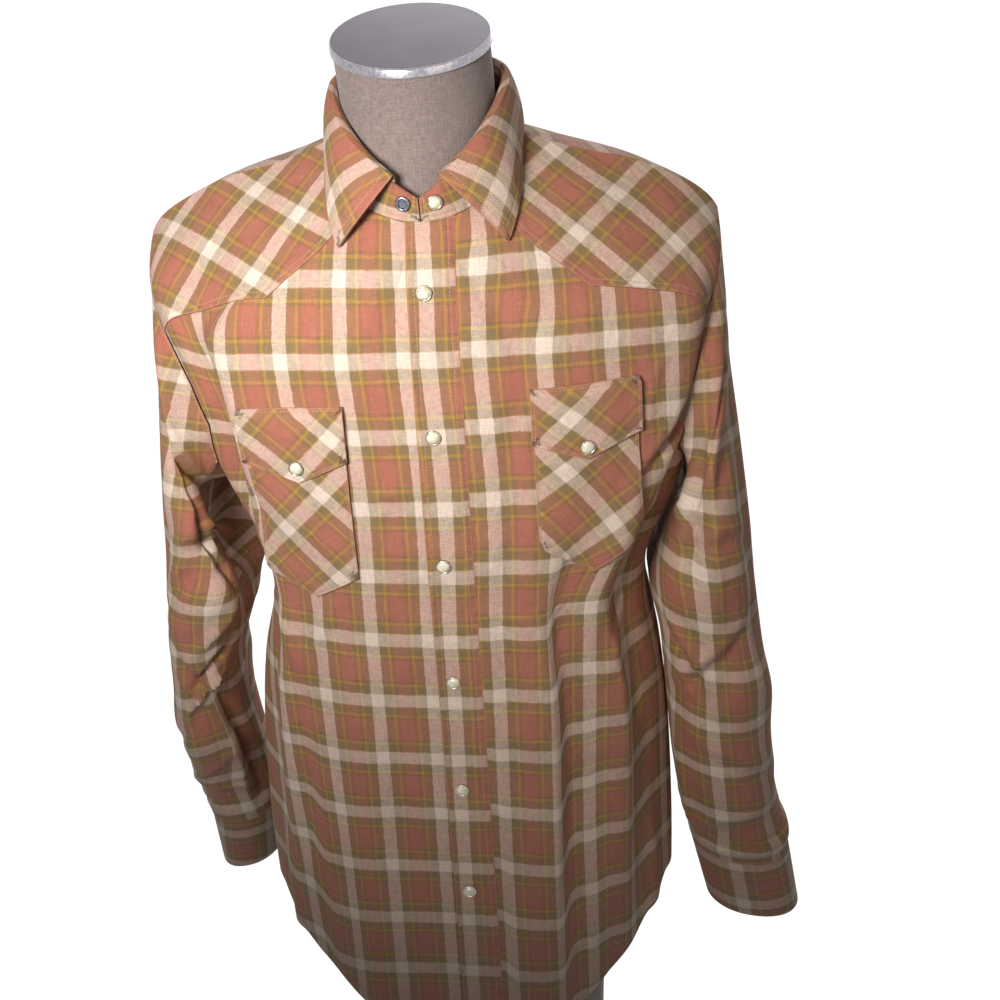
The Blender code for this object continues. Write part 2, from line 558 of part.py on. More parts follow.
# ---------------------------------------------------------------- placket and pockets
def make_placket(name):
    hem = float(hem_row(0.0))
    rows = joined(between(0.0, UNDERARM_ROW, 14), between(UNDERARM_ROW, hem, BODY_STEPS))
    across = between(PLACKET_LEFT_EDGE, PLACKET_RIGHT_EDGE, 3)
    row = np.repeat(rows[None], len(across), axis=0)
    angle = angle_at_x(across[:, None], row)
    return body_panel(name, angle, row, "flannel", (), lift=PLACKET_LIFT + CLOTH)


def front_place(x, drop):
    """Angle and row of a place on the front given by X and drop."""
    angle = np.degrees(np.arcsin(np.clip(x / RINGS["underarm"][0], -0.95, 0.95)))
    for _ in range(6):
        row = row_at_drop(angle, drop)
        angle = angle_at_x(x, row)
    return angle, row


def pocket_edges(side):
    return named(POCKET_COLUMNS, POCKET_LEFT if side > 0 else POCKET_RIGHT)


def pocket_grid(side, width_extra, top, side_drop, point_drop, columns, down):
    """X and drop over a pocket piece with straight sides and a pointed foot."""
    size = pocket_edges(side)
    across = between(size["inner"] - width_extra, size["outer"] + width_extra, columns)
    share = between(0.0, 1.0, columns)
    tilt = size["tilt"] * share
    foot = side_drop + (point_drop - side_drop) * (1.0 - np.abs(2.0 * share - 1.0)) + tilt
    head = top + tilt
    drop = head[:, None] + (foot - head)[:, None] * down
    x = np.repeat(across[:, None], len(down), axis=1)
    return side * x, drop


def make_pocket(name, side):
    size = pocket_edges(side)
    x, drop = pocket_grid(side, 0.0, size["flap_top"] + POCKET_MOUTH_DROP, size["bottom_side"],
                          size["bottom_point"], 8, between(0.0, 1.0, 10))
    angle, row = front_place(x, drop)
    return body_panel(name, angle, row, "flannel_bias", (), lift=OVERLAY_LIFT + CLOTH)


def make_flap(name, side):
    size = pocket_edges(side)
    x, drop = pocket_grid(side, FLAP_OVERHANG, size["flap_top"], size["flap_side"],
                          size["flap_point"], 8, np.array(FLAP_ROWS))
    angle, row = front_place(x, drop)
    sewn = PLACKET_LIFT + CLOTH
    lift = sewn + (2.0 * (OVERLAY_LIFT + CLOTH) - sewn) * np.array(FLAP_RISE)
    return body_panel(name, angle, row, "flannel_bias", (), lift=lift)


# ---------------------------------------------------------------- sleeves and cuffs
SLEEVE_SIDES = 20
SLEEVE_ROWS = 22
CUFF_ROWS = 3
CUFF_LAP = 1.10                # turns of the cuff band, so its end laps over its start
CUFF_LAP_GAP = 0.0006          # clearance between the lapped ends
CUFF_START = 0.64              # turn where the band starts, at the back of the wrist
ARMHOLE_EASE = 0.15            # spreads the sleeve's columns evenly round the armhole
SLEEVE_SEAM_RISE = 0.0011      # the sleeve head stands this far off the armhole's edge


def armhole_loop(side):
    """The armhole from the shoulder tip down its front edge and up its back edge."""
    turn = np.arange(SLEEVE_SIDES) / SLEEVE_SIDES
    front_half = turn <= 0.5
    depth = np.where(front_half, turn * 2.0, (1.0 - turn) * 2.0)
    eased = [smooth_step(-ARMHOLE_EASE, 1.0 + ARMHOLE_EASE, place) for place in (depth, 0.0, 1.0)]
    row = TIP_ROW + (UNDERARM_ROW - TIP_ROW) * (eased[0] - eased[1]) / (eased[2] - eased[1])
    angle = np.where(front_half, armhole_angle(row, "forward"), armhole_angle(row, "backward"))
    return side * angle, row


def section_ring(values, side, turns):
    """One ring of a sleeve: turn 0 is the outer edge, a quarter is the front."""
    part = named(SLEEVE_COLUMNS, values)
    cosine, sine = np.cos(2.0 * np.pi * turns), np.sin(2.0 * np.pi * turns)
    power = 2.0 / part["squareness"]
    share = 0.5 + 0.5 * np.sign(cosine) * np.abs(cosine) ** power
    x = part["inner"] + (part["outer"] - part["inner"]) * share
    drop = part["drop_inner"] + (part["drop_outer"] - part["drop_inner"]) * share
    y = part["middle"] - part["half_depth"] * np.sign(sine) * np.abs(sine) ** power
    return np.stack([side * x, y, NECK_POINT_HEIGHT - drop], axis=-1)


def grid_normals(points, closed):
    """Outward normals of a tube's grid, columns round it and rows down it."""
    if closed:
        around = np.roll(points, -1, axis=0) - np.roll(points, 1, axis=0)
    else:
        around = np.gradient(points, axis=0)
    down = np.gradient(points, axis=1)
    normal = np.cross(around, down)
    normal = normal / np.linalg.norm(normal, axis=-1, keepdims=True)
    last = points[:, -1]
    if np.sum(normal[:, -1] * (last - last.mean(axis=0))) < 0.0:
        normal = -normal
    return normal


def clear_of_side(points, side):
    """Move a sleeve's points out sideways where they would press into the body."""
    angle = side * np.linspace(25.0, 155.0, 66)
    surface = body(angle[:, None], np.linspace(UNDERARM_ROW, len(RINGS) - 1.0, 80))
    levels = np.linspace(surface[:, -1, 2].max(), surface[:, 0, 2].min(), 90)
    depths = np.linspace(-0.11, 0.13, 61)
    reach = np.zeros((len(levels), len(depths)))
    for k, level in enumerate(levels):
        x, y = [[np.interp(level, line[::-1, 2], line[::-1, axis]) for line in surface]
                for axis in (0, 1)]
        reach[k] = np.interp(depths, y, np.abs(x))
    at_level = (points[..., 2] - levels[0]) / (levels[1] - levels[0])
    at_depth = (points[..., 1] - depths[0]) / (depths[1] - depths[0])
    level = np.clip(at_level.astype(int), 0, len(levels) - 2)
    depth = np.clip(at_depth.astype(int), 0, len(depths) - 2)
    a, b = np.clip(at_level - level, 0.0, 1.0), np.clip(at_depth - depth, 0.0, 1.0)
    nearest = ((1 - a) * ((1 - b) * reach[level, depth] + b * reach[level, depth + 1])
               + a * ((1 - b) * reach[level + 1, depth] + b * reach[level + 1, depth + 1]))
    pressed = nearest + SLEEVE_CLEARANCE - np.abs(points[..., 0])
    below = (at_level < len(levels) - 1) & (pressed > 0.0)
    moved = points.copy()
    moved[..., 0] += np.where(below, side * pressed, 0.0)
    return moved


def sleeve_grid(side, rows):
    """Outer points of a sleeve from its armhole to the cuff seam."""
    sections = SLEEVE_LEFT if side > 0 else SLEEVE_RIGHT
    foot = CUFF_LEFT_FOOT if side > 0 else CUFF_RIGHT_FOOT
    angle, row = armhole_loop(side)
    seam = body(angle, row) + SLEEVE_SEAM_RISE * surface_normal(body_base, angle, row)
    steps = np.arange(SLEEVE_SIDES) / SLEEVE_SIDES
    rings = [section_ring(values, side, steps) for values in sections.values()]
    away = rings[0] - seam
    start = seam + SLEEVE_SEAM_RISE * away / np.linalg.norm(away, axis=-1, keepdims=True)
    chain = [start] + rings + [section_ring(foot, side, steps)]
    return np.swapaxes(smooth_rows(np.array(chain), np.asarray(rows)), 0, 1)


def sleeve_folds(side, rows_share):
    table = SLEEVE_FOLDS_LEFT if side > 0 else SLEEVE_FOLDS_RIGHT
    around = 360.0 * np.arange(SLEEVE_SIDES)[:, None] / SLEEVE_SIDES
    total = np.zeros((SLEEVE_SIDES, len(rows_share)))
    for values in table.values():
        fold = dict(zip(SLEEVE_FOLD_COLUMNS, values))
        aside = wrapped(around - fold["around"])
        line = fold["along"] + fold["slant"] * aside / 90.0
        total += fold["height"] * np.exp(-(aside / fold["reach"]) ** 2
                                         - ((rows_share - line) / fold["width"]) ** 2)
    return total


def make_sleeve(name, side):
    sections = len(SLEEVE_LEFT)
    rows = np.linspace(0.0, float(sections), SLEEVE_ROWS + 1)
    points = sleeve_grid(side, rows)
    normal = grid_normals(points, closed=True)
    share = rows / sections
    fade = smooth_step(0.0, 0.12, share) * (1.0 - smooth_step(0.95, 1.0, share))   # none at seams
    outer = clear_of_side(points + normal * (sleeve_folds(side, share) * fade)[..., None], side)
    inner = outer - CLOTH * normal
    return cloth_wall(name, outer, inner, "flannel", closed=True)


def cuff_turn(side, turns, rows):
    """Rings of a cuff at any number of turns, each point a row down the sleeve."""
    sections = SLEEVE_LEFT if side > 0 else SLEEVE_RIGHT
    foot = CUFF_LEFT_FOOT if side > 0 else CUFF_RIGHT_FOOT
    top = section_ring(list(sections.values())[-1], side, turns)
    bottom = section_ring(foot, side, turns)
    share = np.asarray(rows)[None, :, None]
    return top[:, None] + (bottom - top)[:, None] * share


def make_cuff(name, side):
    """A band round the wrist whose end laps over its start at the back."""
    turns = CUFF_START + CUFF_LAP * np.linspace(0.0, 1.0, 27)
    rows = np.linspace(0.012, 1.0, CUFF_ROWS + 1)
    points = cuff_turn(side, turns, rows)
    normal = grid_normals(points, closed=False)
    lap = smooth_step(CUFF_START + 0.93, CUFF_START + 0.99, turns)[:, None, None]
    outer = points + normal * (CLOTH + CUFF_LAP_GAP) * lap
    inner = outer - CLOTH * normal
    return cloth_wall(name, outer, inner, "flannel")


# ---------------------------------------------------------------- collar
def collar_place(u):
    """Table values at places from one front end (-1) round to the other (1)."""
    return named(COLLAR_COLUMNS, smooth_rows(COLLAR, (1.0 - np.abs(u)) * (len(COLLAR) - 1)))


def fold_line(u):
    """The collar's fold at places round the neck."""
    place = collar_place(u)
    x = np.where(u < 0.0, -1.0, 1.0) * place["fold_x"] + COLLAR_SHIFT
    return np.stack([x, place["fold_y"], NECK_POINT_HEIGHT - place["fold_drop"]], axis=-1)


def stand_angle(u):
    """Angle on the stand's top ring that faces a place on the fold, 0 to 360."""
    ring = named(RING_COLUMNS, STAND_TOP)
    x, y, _ = fold_line(u).T
    ahead = np.where(y < ring["side"], ring["front"], 2.0 * ring["side"] - ring["back"])
    return np.degrees(np.arctan2((x - ring["shift"]) / ring["half_width"],
                                 (y - ring["side"]) / (ahead - ring["side"]))) % 360.0


def collar_fall_grid(u, w):
    """Outer points of the fall: u round the neck, w from the stand's seam (-1)
    up to the fold (0) and down to the edge (1)."""
    place = collar_place(u)
    side = np.where(u < 0.0, -1.0, 1.0)
    fold = fold_line(u)
    edge_angle = side * place["edge_angle"]
    edge = body(edge_angle, place["edge_row"], place["edge_lift"])
    seat = stand_top(stand_angle(u), -COLLAR_CLOTH)
    seat[:, 2] += FALL_SEAT_RISE
    inner_fold = np.concatenate([seat[:, :2], fold[:, 2:] - FOLD_SHOULDER], axis=1)
    crest = 0.5 * (fold + inner_fold)
    crest[:, 2] = fold[:, 2] + FOLD_SHOULDER
    path = np.stack([seat, inner_fold, crest, fold])
    inside = np.swapaxes(np.stack([
        [np.interp(w, FOLD_PLACES, path[:, k, axis]) for axis in range(3)]
        for k in range(len(u))]), 1, 2)
    outside = fold[:, None] + (edge - fold)[:, None] * w[None, :, None]
    normal = grid_normals(outside, closed=False)
    outside = outside + normal * place["bulge"][:, None, None] * (4.0 * w * (1.0 - w))[None, :, None]
    return np.where(w[None, :, None] < 0.0, inside, outside)


def make_collar_fall(name):
    u = np.linspace(-1.0, 1.0, COLLAR_STEPS + 1)
    w = np.array([*FOLD_PLACES, 0.12, 0.4, 0.7, 1.0])
    outer = collar_fall_grid(u, w)
    inner = outer - COLLAR_CLOTH * grid_normals(outer, closed=False)
    return cloth_wall(name, outer, inner, "flannel")


def stand_top(angle, lift=0.0):
    """The stand's top edge, moved out sideways."""
    point = ring_points({"top": STAND_TOP, "again": STAND_TOP}, angle, 0.0)
    turn = np.radians(angle)
    aside = np.stack([np.sin(turn), -np.cos(turn), np.zeros_like(turn)], axis=-1)
    return point + lift * aside


def make_collar_stand(name):
    facing = stand_angle(np.linspace(1.0, -1.0, COLLAR_STEPS + 1))
    end = between(STAND_END_ANGLE, facing[0], 2)
    angle = joined(end, facing, 360.0 - end[::-1])
    base = ring_points(RINGS, angle, 0.0) + np.array([0.0, 0.0, STAND_SEAM_RISE])
    top = stand_top(angle)
    w = np.linspace(0.0, 1.0, 3)[None, :, None]
    points = base[:, None] + (top - base)[:, None] * w
    normal = grid_normals(points, closed=False)
    return cloth_wall(name, points, points - COLLAR_CLOTH * normal, "flannel")


# ---------------------------------------------------------------- snaps
SNAP_PROFILE = ((1.00, 0.00), (1.00, 0.35), (0.86, 0.62), (0.60, 0.90), (0.30, 1.00))
SNAP_SIDES = 12
CUFF_SNAP_TURN = 1.68          # in the middle of the lap
STAND_SNAP_ANGLE = 10.0        # to each side of centre front
STAND_SNAP_SCALE = 0.95


def make_snap(name, place, normal, finish, scale=1.0):
    """A shallow turned cap whose foot faces the cloth, spun round its axis."""
    mesh = bmesh.new()
    bmesh.ops.create_circle(mesh, cap_ends=True, segments=SNAP_SIDES, radius=SNAP_RADIUS * scale)
    bmesh.ops.reverse_faces(mesh, faces=mesh.faces[:])
    edges = mesh.edges[:]
    for radius, height in SNAP_PROFILE[1:]:
        grown = bmesh.ops.extrude_edge_only(mesh, edges=edges)
        ring = [item for item in grown["geom"] if isinstance(item, bmesh.types.BMVert)]
        edges = [item for item in grown["geom"] if isinstance(item, bmesh.types.BMEdge)]
        for vertex in ring:
            flat = math.hypot(vertex.co.x, vertex.co.y)
            vertex.co.x *= SNAP_RADIUS * scale * radius / flat
            vertex.co.y *= SNAP_RADIUS * scale * radius / flat
            vertex.co.z = SNAP_HEIGHT * scale * height
    bmesh.ops.contextual_create(mesh, geom=edges)
    bmesh.ops.recalc_face_normals(mesh, faces=mesh.faces[:])
    item = add_object(name, mesh, finish)
    item.location = place
    item.rotation_mode = "QUATERNION"
    item.rotation_quaternion = normal.to_track_quat("Z", "Y")
    return item


def snap_on_body(name, x, drop, lift, finish="pearl"):
    """A snap on a cloth piece that lies on the front, at an X and a drop."""
    angle, row = front_place(np.array([x]), np.array([drop]))
    place = body(angle, row, lift + SNAP_LIFT)[0]
    normal = surface_normal(lambda a, r: body(a, r, lift), angle, row)[0]
    make_snap(name, place, mathutils.Vector(normal), finish)


def make_snaps():
    placket_face = PLACKET_LIFT + CLOTH
    flap_face = 2.0 * (OVERLAY_LIFT + CLOTH)
    for index in range(FRONT_SNAPS):
        snap_on_body(f"snap_front_{index + 1}", 0.0, FIRST_SNAP_DROP + SNAP_SPACING * index,
                     placket_face)
    for side, label in ((1, "left"), (-1, "right")):
        size = pocket_edges(side)
        x = side * 0.5 * (size["inner"] + size["outer"])
        snap_on_body(f"snap_pocket_{label}", x, size["flap_point"] - FLAP_SNAP_RISE, flap_face)
        snap_on_cuff(f"snap_cuff_{label}", side)
    snap_on_stand("snap_collar_cap", STAND_SNAP_ANGLE, "pearl")
    snap_on_stand("snap_collar_stud", -STAND_SNAP_ANGLE, "stud")


def snap_on_cuff(name, side):
    turns = CUFF_SNAP_TURN + np.array([-0.01, 0.0, 0.01])
    rows = np.array([0.49, 0.5, 0.51])
    points = cuff_turn(side, turns, rows)
    normal = grid_normals(points, closed=False)[1, 1]
    outward = points[1, 1] - cuff_turn(side, turns - 0.5, rows)[1, 1]
    if np.dot(normal, outward) < 0.0:
        normal = -normal
    place = points[1, 1] + normal * (CLOTH + CUFF_LAP_GAP + SNAP_LIFT)
    make_snap(name, place, mathutils.Vector(normal), "pearl")


def snap_on_stand(name, angle, finish):
    base = ring_points(RINGS, angle, 0.0)
    top = stand_top(angle)
    beside = ring_points(RINGS, angle + 2.0, 0.0)
    normal = np.cross(base - top, beside - base)
    normal = normal / np.linalg.norm(normal)
    if normal[1] > 0.0:
        normal = -normal
    make_snap(name, 0.5 * (base + top) + normal * SNAP_LIFT, mathutils.Vector(normal), finish,
              STAND_SNAP_SCALE)


# ---------------------------------------------------------------- dress form
FORM_SIDES = 36


def form_rings():
    """Rings of the form from its flat base up to the top of its neck."""
    angle = np.arange(FORM_SIDES) * 360.0 / FORM_SIDES
    rows = joined(between(len(FORM_RINGS) - 1.0, UNDERARM_ROW, 8),
                  between(UNDERARM_ROW, TIP_ROW, 6), between(TIP_ROW, 0.0, 6))
    rings = []
    for row in rows:
        own = ring_points(FORM_RINGS, angle, row)
        ease = FORM_CLEARANCE + FORM_BACK_EASE * np.maximum(0.0, -np.cos(np.radians(angle)))
        under = body(angle, min(row, UNDERARM_ROW), -CLOTH - ease)
        blend = float(smooth_step(2.4, 3.6, row) + 1.0 - smooth_step(0.0, 0.5, row))
        rings.append(under + (own - under) * blend)
    rings[0][:, 2] = 0.0
    for values in FORM_NECK.values():
        rings.append(neck_ring(values, angle))
    return rings


def neck_ring(values, angle, rise=0.0):
    ring = named(NECK_COLUMNS, values)
    turn = np.radians(angle)
    x = ring["shift"] + ring["radius_x"] * np.sin(turn)
    y = ring["middle"] - ring["radius_y"] * np.cos(turn)
    drop = ring["drop"] - rise - ring["slope"] * (y - ring["middle"])
    return np.stack([x, y, NECK_POINT_HEIGHT - drop], axis=-1)


def stack_rings(name, rings, finish):
    """A closed solid skinned over a stack of rings, foot first."""
    mesh = bmesh.new()
    sides = len(rings[0])
    bmesh.ops.create_circle(mesh, cap_ends=True, segments=sides, radius=1.0)
    order = sorted(mesh.verts, key=lambda v: math.atan2(v.co.y, v.co.x) % (2.0 * math.pi))
    edges = mesh.edges[:]
    for vertex, place in zip(order, rings[0]):
        vertex.co = place
    ring = order
    for places in rings[1:]:
        grown = bmesh.ops.extrude_edge_only(mesh, edges=edges)
        edges = [item for item in grown["geom"] if isinstance(item, bmesh.types.BMEdge)]
        raised = [item for item in grown["geom"] if isinstance(item, bmesh.types.BMVert)]
        following = []
        for vertex in ring:
            twin = min(raised, key=lambda v, at=vertex: (v.co - at.co).length_squared)
            following.append(twin)
        for vertex, place in zip(following, places):
            vertex.co = place
        ring = following
    bmesh.ops.contextual_create(mesh, geom=edges)
    bmesh.ops.recalc_face_normals(mesh, faces=mesh.faces[:])
    return add_object(name, mesh, finish)


def make_form():
    stack_rings("form_torso", form_rings(), "linen")
    angle = np.arange(FORM_SIDES) * 360.0 / FORM_SIDES
    top = list(FORM_NECK.values())[-1]
    rings = []
    for grow, rise in CAP_PROFILE:
        values = (CAP_RADIUS_X * grow, CAP_RADIUS_Y * grow, *top[2:])
        rings.append(neck_ring(values, angle, rise))
    stack_rings("form_neck_cap", rings, "brushed_metal")


def main():
    clear_scene()
    make_form()
    make_front("front_left", 1)
    make_front("front_right", -1)
    make_back("back")
    make_front_yoke("yoke_front_left", 1)
    make_front_yoke("yoke_front_right", -1)
    make_back_yoke("yoke_back")
    make_placket("placket")
    for side, label in ((1, "left"), (-1, "right")):
        make_pocket("pocket_" + label, side)
        make_flap("flap_" + label, side)
        make_sleeve("sleeve_" + label, side)
        make_cuff("cuff_" + label, side)
    make_collar_stand("collar_stand")
    make_collar_fall("collar_fall")
    make_snaps()


main()
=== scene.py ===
# %% [markdown]
# # A western snap shirt on a dress form
#
# A man's long-sleeved western shirt hangs on a limbless dress form.  It is
# plaid flannel: the fronts, back, sleeves, cuffs, collar and placket are cut on
# the straight grain, and the pointed yokes, pockets and flaps on the bias.
# Metal-rimmed pearl snaps close it.  Units are metres, +Z is up, the shirt
# faces -Y and +X is the wearer's left.  The origin is the middle of the form's
# flat foot.

import math

import bmesh
import bpy
import mathutils
import numpy as np
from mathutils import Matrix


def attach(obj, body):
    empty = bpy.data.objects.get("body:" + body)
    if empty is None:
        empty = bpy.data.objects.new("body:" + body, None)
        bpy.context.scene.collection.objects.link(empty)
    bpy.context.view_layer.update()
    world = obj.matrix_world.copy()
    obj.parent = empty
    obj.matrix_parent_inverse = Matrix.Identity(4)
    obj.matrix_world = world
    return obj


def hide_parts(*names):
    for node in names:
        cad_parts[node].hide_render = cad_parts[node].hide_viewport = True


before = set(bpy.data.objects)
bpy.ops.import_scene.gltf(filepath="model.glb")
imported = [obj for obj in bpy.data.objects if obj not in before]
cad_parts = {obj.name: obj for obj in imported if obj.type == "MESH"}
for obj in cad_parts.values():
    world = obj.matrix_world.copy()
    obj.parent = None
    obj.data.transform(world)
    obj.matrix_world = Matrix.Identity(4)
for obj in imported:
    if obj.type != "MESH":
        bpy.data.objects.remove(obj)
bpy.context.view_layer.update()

# %% [markdown]
# ## The camera
#
# A camera in Blender looks along its own -Z with +Y up, so its matrix is built
# from three directions: right, up and backwards.  Setting it first means every
# later piece can be judged from the view that matters.  It stands a little to
# the wearer's left, above the collar, and looks 25 degrees down.

# %% Aim the camera
NECK_POINT_HEIGHT = 0.872      # foot to the point where the neck meets the shoulder seam
LENS_MM = 50.4
CAMERA_AT = (0.101, -1.010, NECK_POINT_HEIGHT + 0.168)
CAMERA_YAW, CAMERA_PITCH, CAMERA_ROLL = -3.6, 25.2, -3.3


def camera_matrix(place, yaw, pitch, roll):
    """World matrix of a camera turned by yaw, pitched down and rolled, in degrees."""
    yaw, pitch, roll = math.radians(yaw), math.radians(pitch), math.radians(roll)
    ahead = mathutils.Vector((math.sin(yaw) * math.cos(pitch),
                              math.cos(yaw) * math.cos(pitch), -math.sin(pitch)))
    level = mathutils.Vector((math.cos(yaw), -math.sin(yaw), 0.0))
    upward = level.cross(ahead)
    right = math.cos(roll) * level + math.sin(roll) * upward
    up = math.cos(roll) * upward - math.sin(roll) * level
    matrix = mathutils.Matrix((right, up, -ahead)).transposed().to_4x4()
    matrix.translation = place
    return matrix


camera_data = bpy.data.cameras.new("camera")
camera_data.lens = LENS_MM
camera_data.sensor_fit = "HORIZONTAL"
camera_data.sensor_width = 36.0
camera_data.clip_end = 60.0
camera = bpy.data.objects.new("camera", camera_data)
camera.matrix_world = camera_matrix(CAMERA_AT, CAMERA_YAW, CAMERA_PITCH, CAMERA_ROLL)
bpy.context.scene.collection.objects.link(camera)
bpy.context.scene.camera = camera
print("camera", [round(v, 3) for v in camera.location], "lens", LENS_MM)

# %% [markdown]
# ## The sewing sizes
#
# Cloth is a wall 1.3 mm thick, which is flannel with its brushed nap.  Pieces
# that meet keep 0.3 mm between them, as a seam shows a fine dark line, and a
# piece that lies on another is lifted clear of it.

# %% Sewing sizes
CLOTH = 0.0013                 # thickness of the flannel wall
SEAM_GAP = 0.0003              # clearance between pieces that meet
ROUNDING = 0.00003             # keeps the clearance through rounding
PLACKET_LIFT = 0.0005          # clearance under the placket
OVERLAY_LIFT = 0.0014          # clearance under a piece that lies on a panel
COLLAR_CLOTH = 0.0018          # two plies and an interlining

PLACKET_LEFT_EDGE = -0.012     # free edge of the placket, from the centre line
PLACKET_RIGHT_EDGE = 0.022
SNAP_SPACING = 0.102
FIRST_SNAP_DROP = 0.107        # below the neck point, measured down
FRONT_SNAPS = 6
SNAP_RADIUS = 0.0056
SNAP_HEIGHT = 0.0032
SNAP_LIFT = 0.0004             # clearance under a snap
SLEEVE_CLEARANCE = 0.0016      # between a sleeve and the side it rests against

# %% [markdown]
# ## The body surface
#
# The fronts, back and yokes meet edge to edge on one surface, so that surface is
# made first and each panel is cut from it.  It is a stack of rings round the
# body, each with its own width, depth and height, joined by a smooth curve.
# Numbers in a table are easier to adjust than a sculpted mesh, and every panel
# that follows the same table fits its neighbours.

# %% Rings of the body
RING_COLUMNS = ("half_width", "front", "side", "back",
                "drop_front", "drop_side", "drop_back", "squareness", "shift")
RINGS = {
    "neck seam":     (0.065, -0.072, -0.004, 0.058, 0.064, 0.017, 0.012, 2.0, -0.001),
    "collar spread": (0.104, -0.0895, 0.001, 0.080, 0.092, 0.032, 0.026, 2.1, 0.000),
    "mid shoulder":  (0.158, -0.0950, 0.004, 0.100, 0.122, 0.047, 0.050, 2.3, 0.000),
    "shoulder tip":  (0.208, -0.0990, 0.008, 0.110, 0.155, 0.080, 0.094, 2.6, -0.001),
    "upper armhole": (0.204, -0.1020, 0.010, 0.115, 0.195, 0.140, 0.155, 2.6, 0.001),
    "mid armhole":   (0.194, -0.1030, 0.010, 0.118, 0.240, 0.205, 0.220, 2.6, 0.003),
    "underarm":      (0.178, -0.1030, 0.009, 0.116, 0.295, 0.275, 0.285, 2.5, 0.003),
    "ribs":          (0.153, -0.1010, 0.008, 0.112, 0.360, 0.355, 0.360, 2.5, 0.000),
    "waist":         (0.166, -0.0980, 0.008, 0.108, 0.450, 0.450, 0.450, 2.5, -0.001),
    "hip":           (0.172, -0.0970, 0.006, 0.110, 0.590, 0.590, 0.590, 2.5, -0.003),
    "tail":          (0.180, -0.1030, 0.004, 0.116, 0.840, 0.840, 0.840, 2.4, -0.004),
}
TIP_ROW = 3.0
UNDERARM_ROW = 6.0

# %% Read smooth values from the tables
def named(columns, values):
    """Table values under their column names, for one row or an array of rows."""
    return dict(zip(columns, np.moveaxis(np.asarray(values, float), -1, 0)))


def smooth_rows(rows, place):
    """Catmull-Rom curve through table rows, at places counted in rows."""
    rows = np.asarray(rows, dtype=float)
    place = np.clip(np.asarray(place, dtype=float), 0.0, len(rows) - 1.0)
    index = np.minimum(place.astype(int), len(rows) - 2)
    t = place - index
    before = rows[np.maximum(index - 1, 0)]
    start, end = rows[index], rows[index + 1]
    after = rows[np.minimum(index + 2, len(rows) - 1)]
    shape = t.shape + (1,) * (rows.ndim - 1)
    t = t.reshape(shape)
    slope_in = 0.5 * (end - before)
    slope_out = 0.5 * (after - start)
    return ((2 * t**3 - 3 * t**2 + 1) * start + (t**3 - 2 * t**2 + t) * slope_in
            + (3 * t**2 - 2 * t**3) * end + (t**3 - t**2) * slope_out)


def smooth_step(low, high, value):
    t = np.clip((value - low) / (high - low), 0.0, 1.0)
    return t * t * (3.0 - 2.0 * t)


def wrapped(angle):
    return (angle + 180.0) % 360.0 - 180.0


def ring_points(rings, angle, row):
    """Points of a ring table: angle in degrees round the body, row down it."""
    angle, row = np.broadcast_arrays(np.asarray(angle, float), np.asarray(row, float))
    ring = named(RING_COLUMNS, smooth_rows(list(rings.values()), row))
    sine, cosine = np.sin(np.radians(angle)), np.cos(np.radians(angle))
    power = 2.0 / ring["squareness"]
    x = ring["shift"] + ring["half_width"] * np.sign(sine) * np.abs(sine) ** power
    depth = np.abs(cosine) ** power
    y_end = np.where(cosine >= 0.0, ring["front"], ring["back"])
    drop_end = np.where(cosine >= 0.0, ring["drop_front"], ring["drop_back"])
    y = ring["side"] + (y_end - ring["side"]) * depth
    drop = ring["drop_side"] + (drop_end - ring["drop_side"]) * depth
    return np.stack([x, y, NECK_POINT_HEIGHT - drop], axis=-1)


def surface_normal(surface, angle, row):
    """Outward normal by central differences of a surface function."""
    small_angle, small_row = 0.6, 0.03
    along = surface(angle + small_angle, row) - surface(angle - small_angle, row)
    down = surface(angle, row + small_row) - surface(angle, row - small_row)
    normal = np.cross(down, along)
    return normal / np.linalg.norm(normal, axis=-1, keepdims=True)


waist = ring_points(RINGS, np.array([0.0, 90.0]), 8.0)
print("waist is", round(2000 * waist[1, 0]), "mm wide; front at", waist[0].round(3))
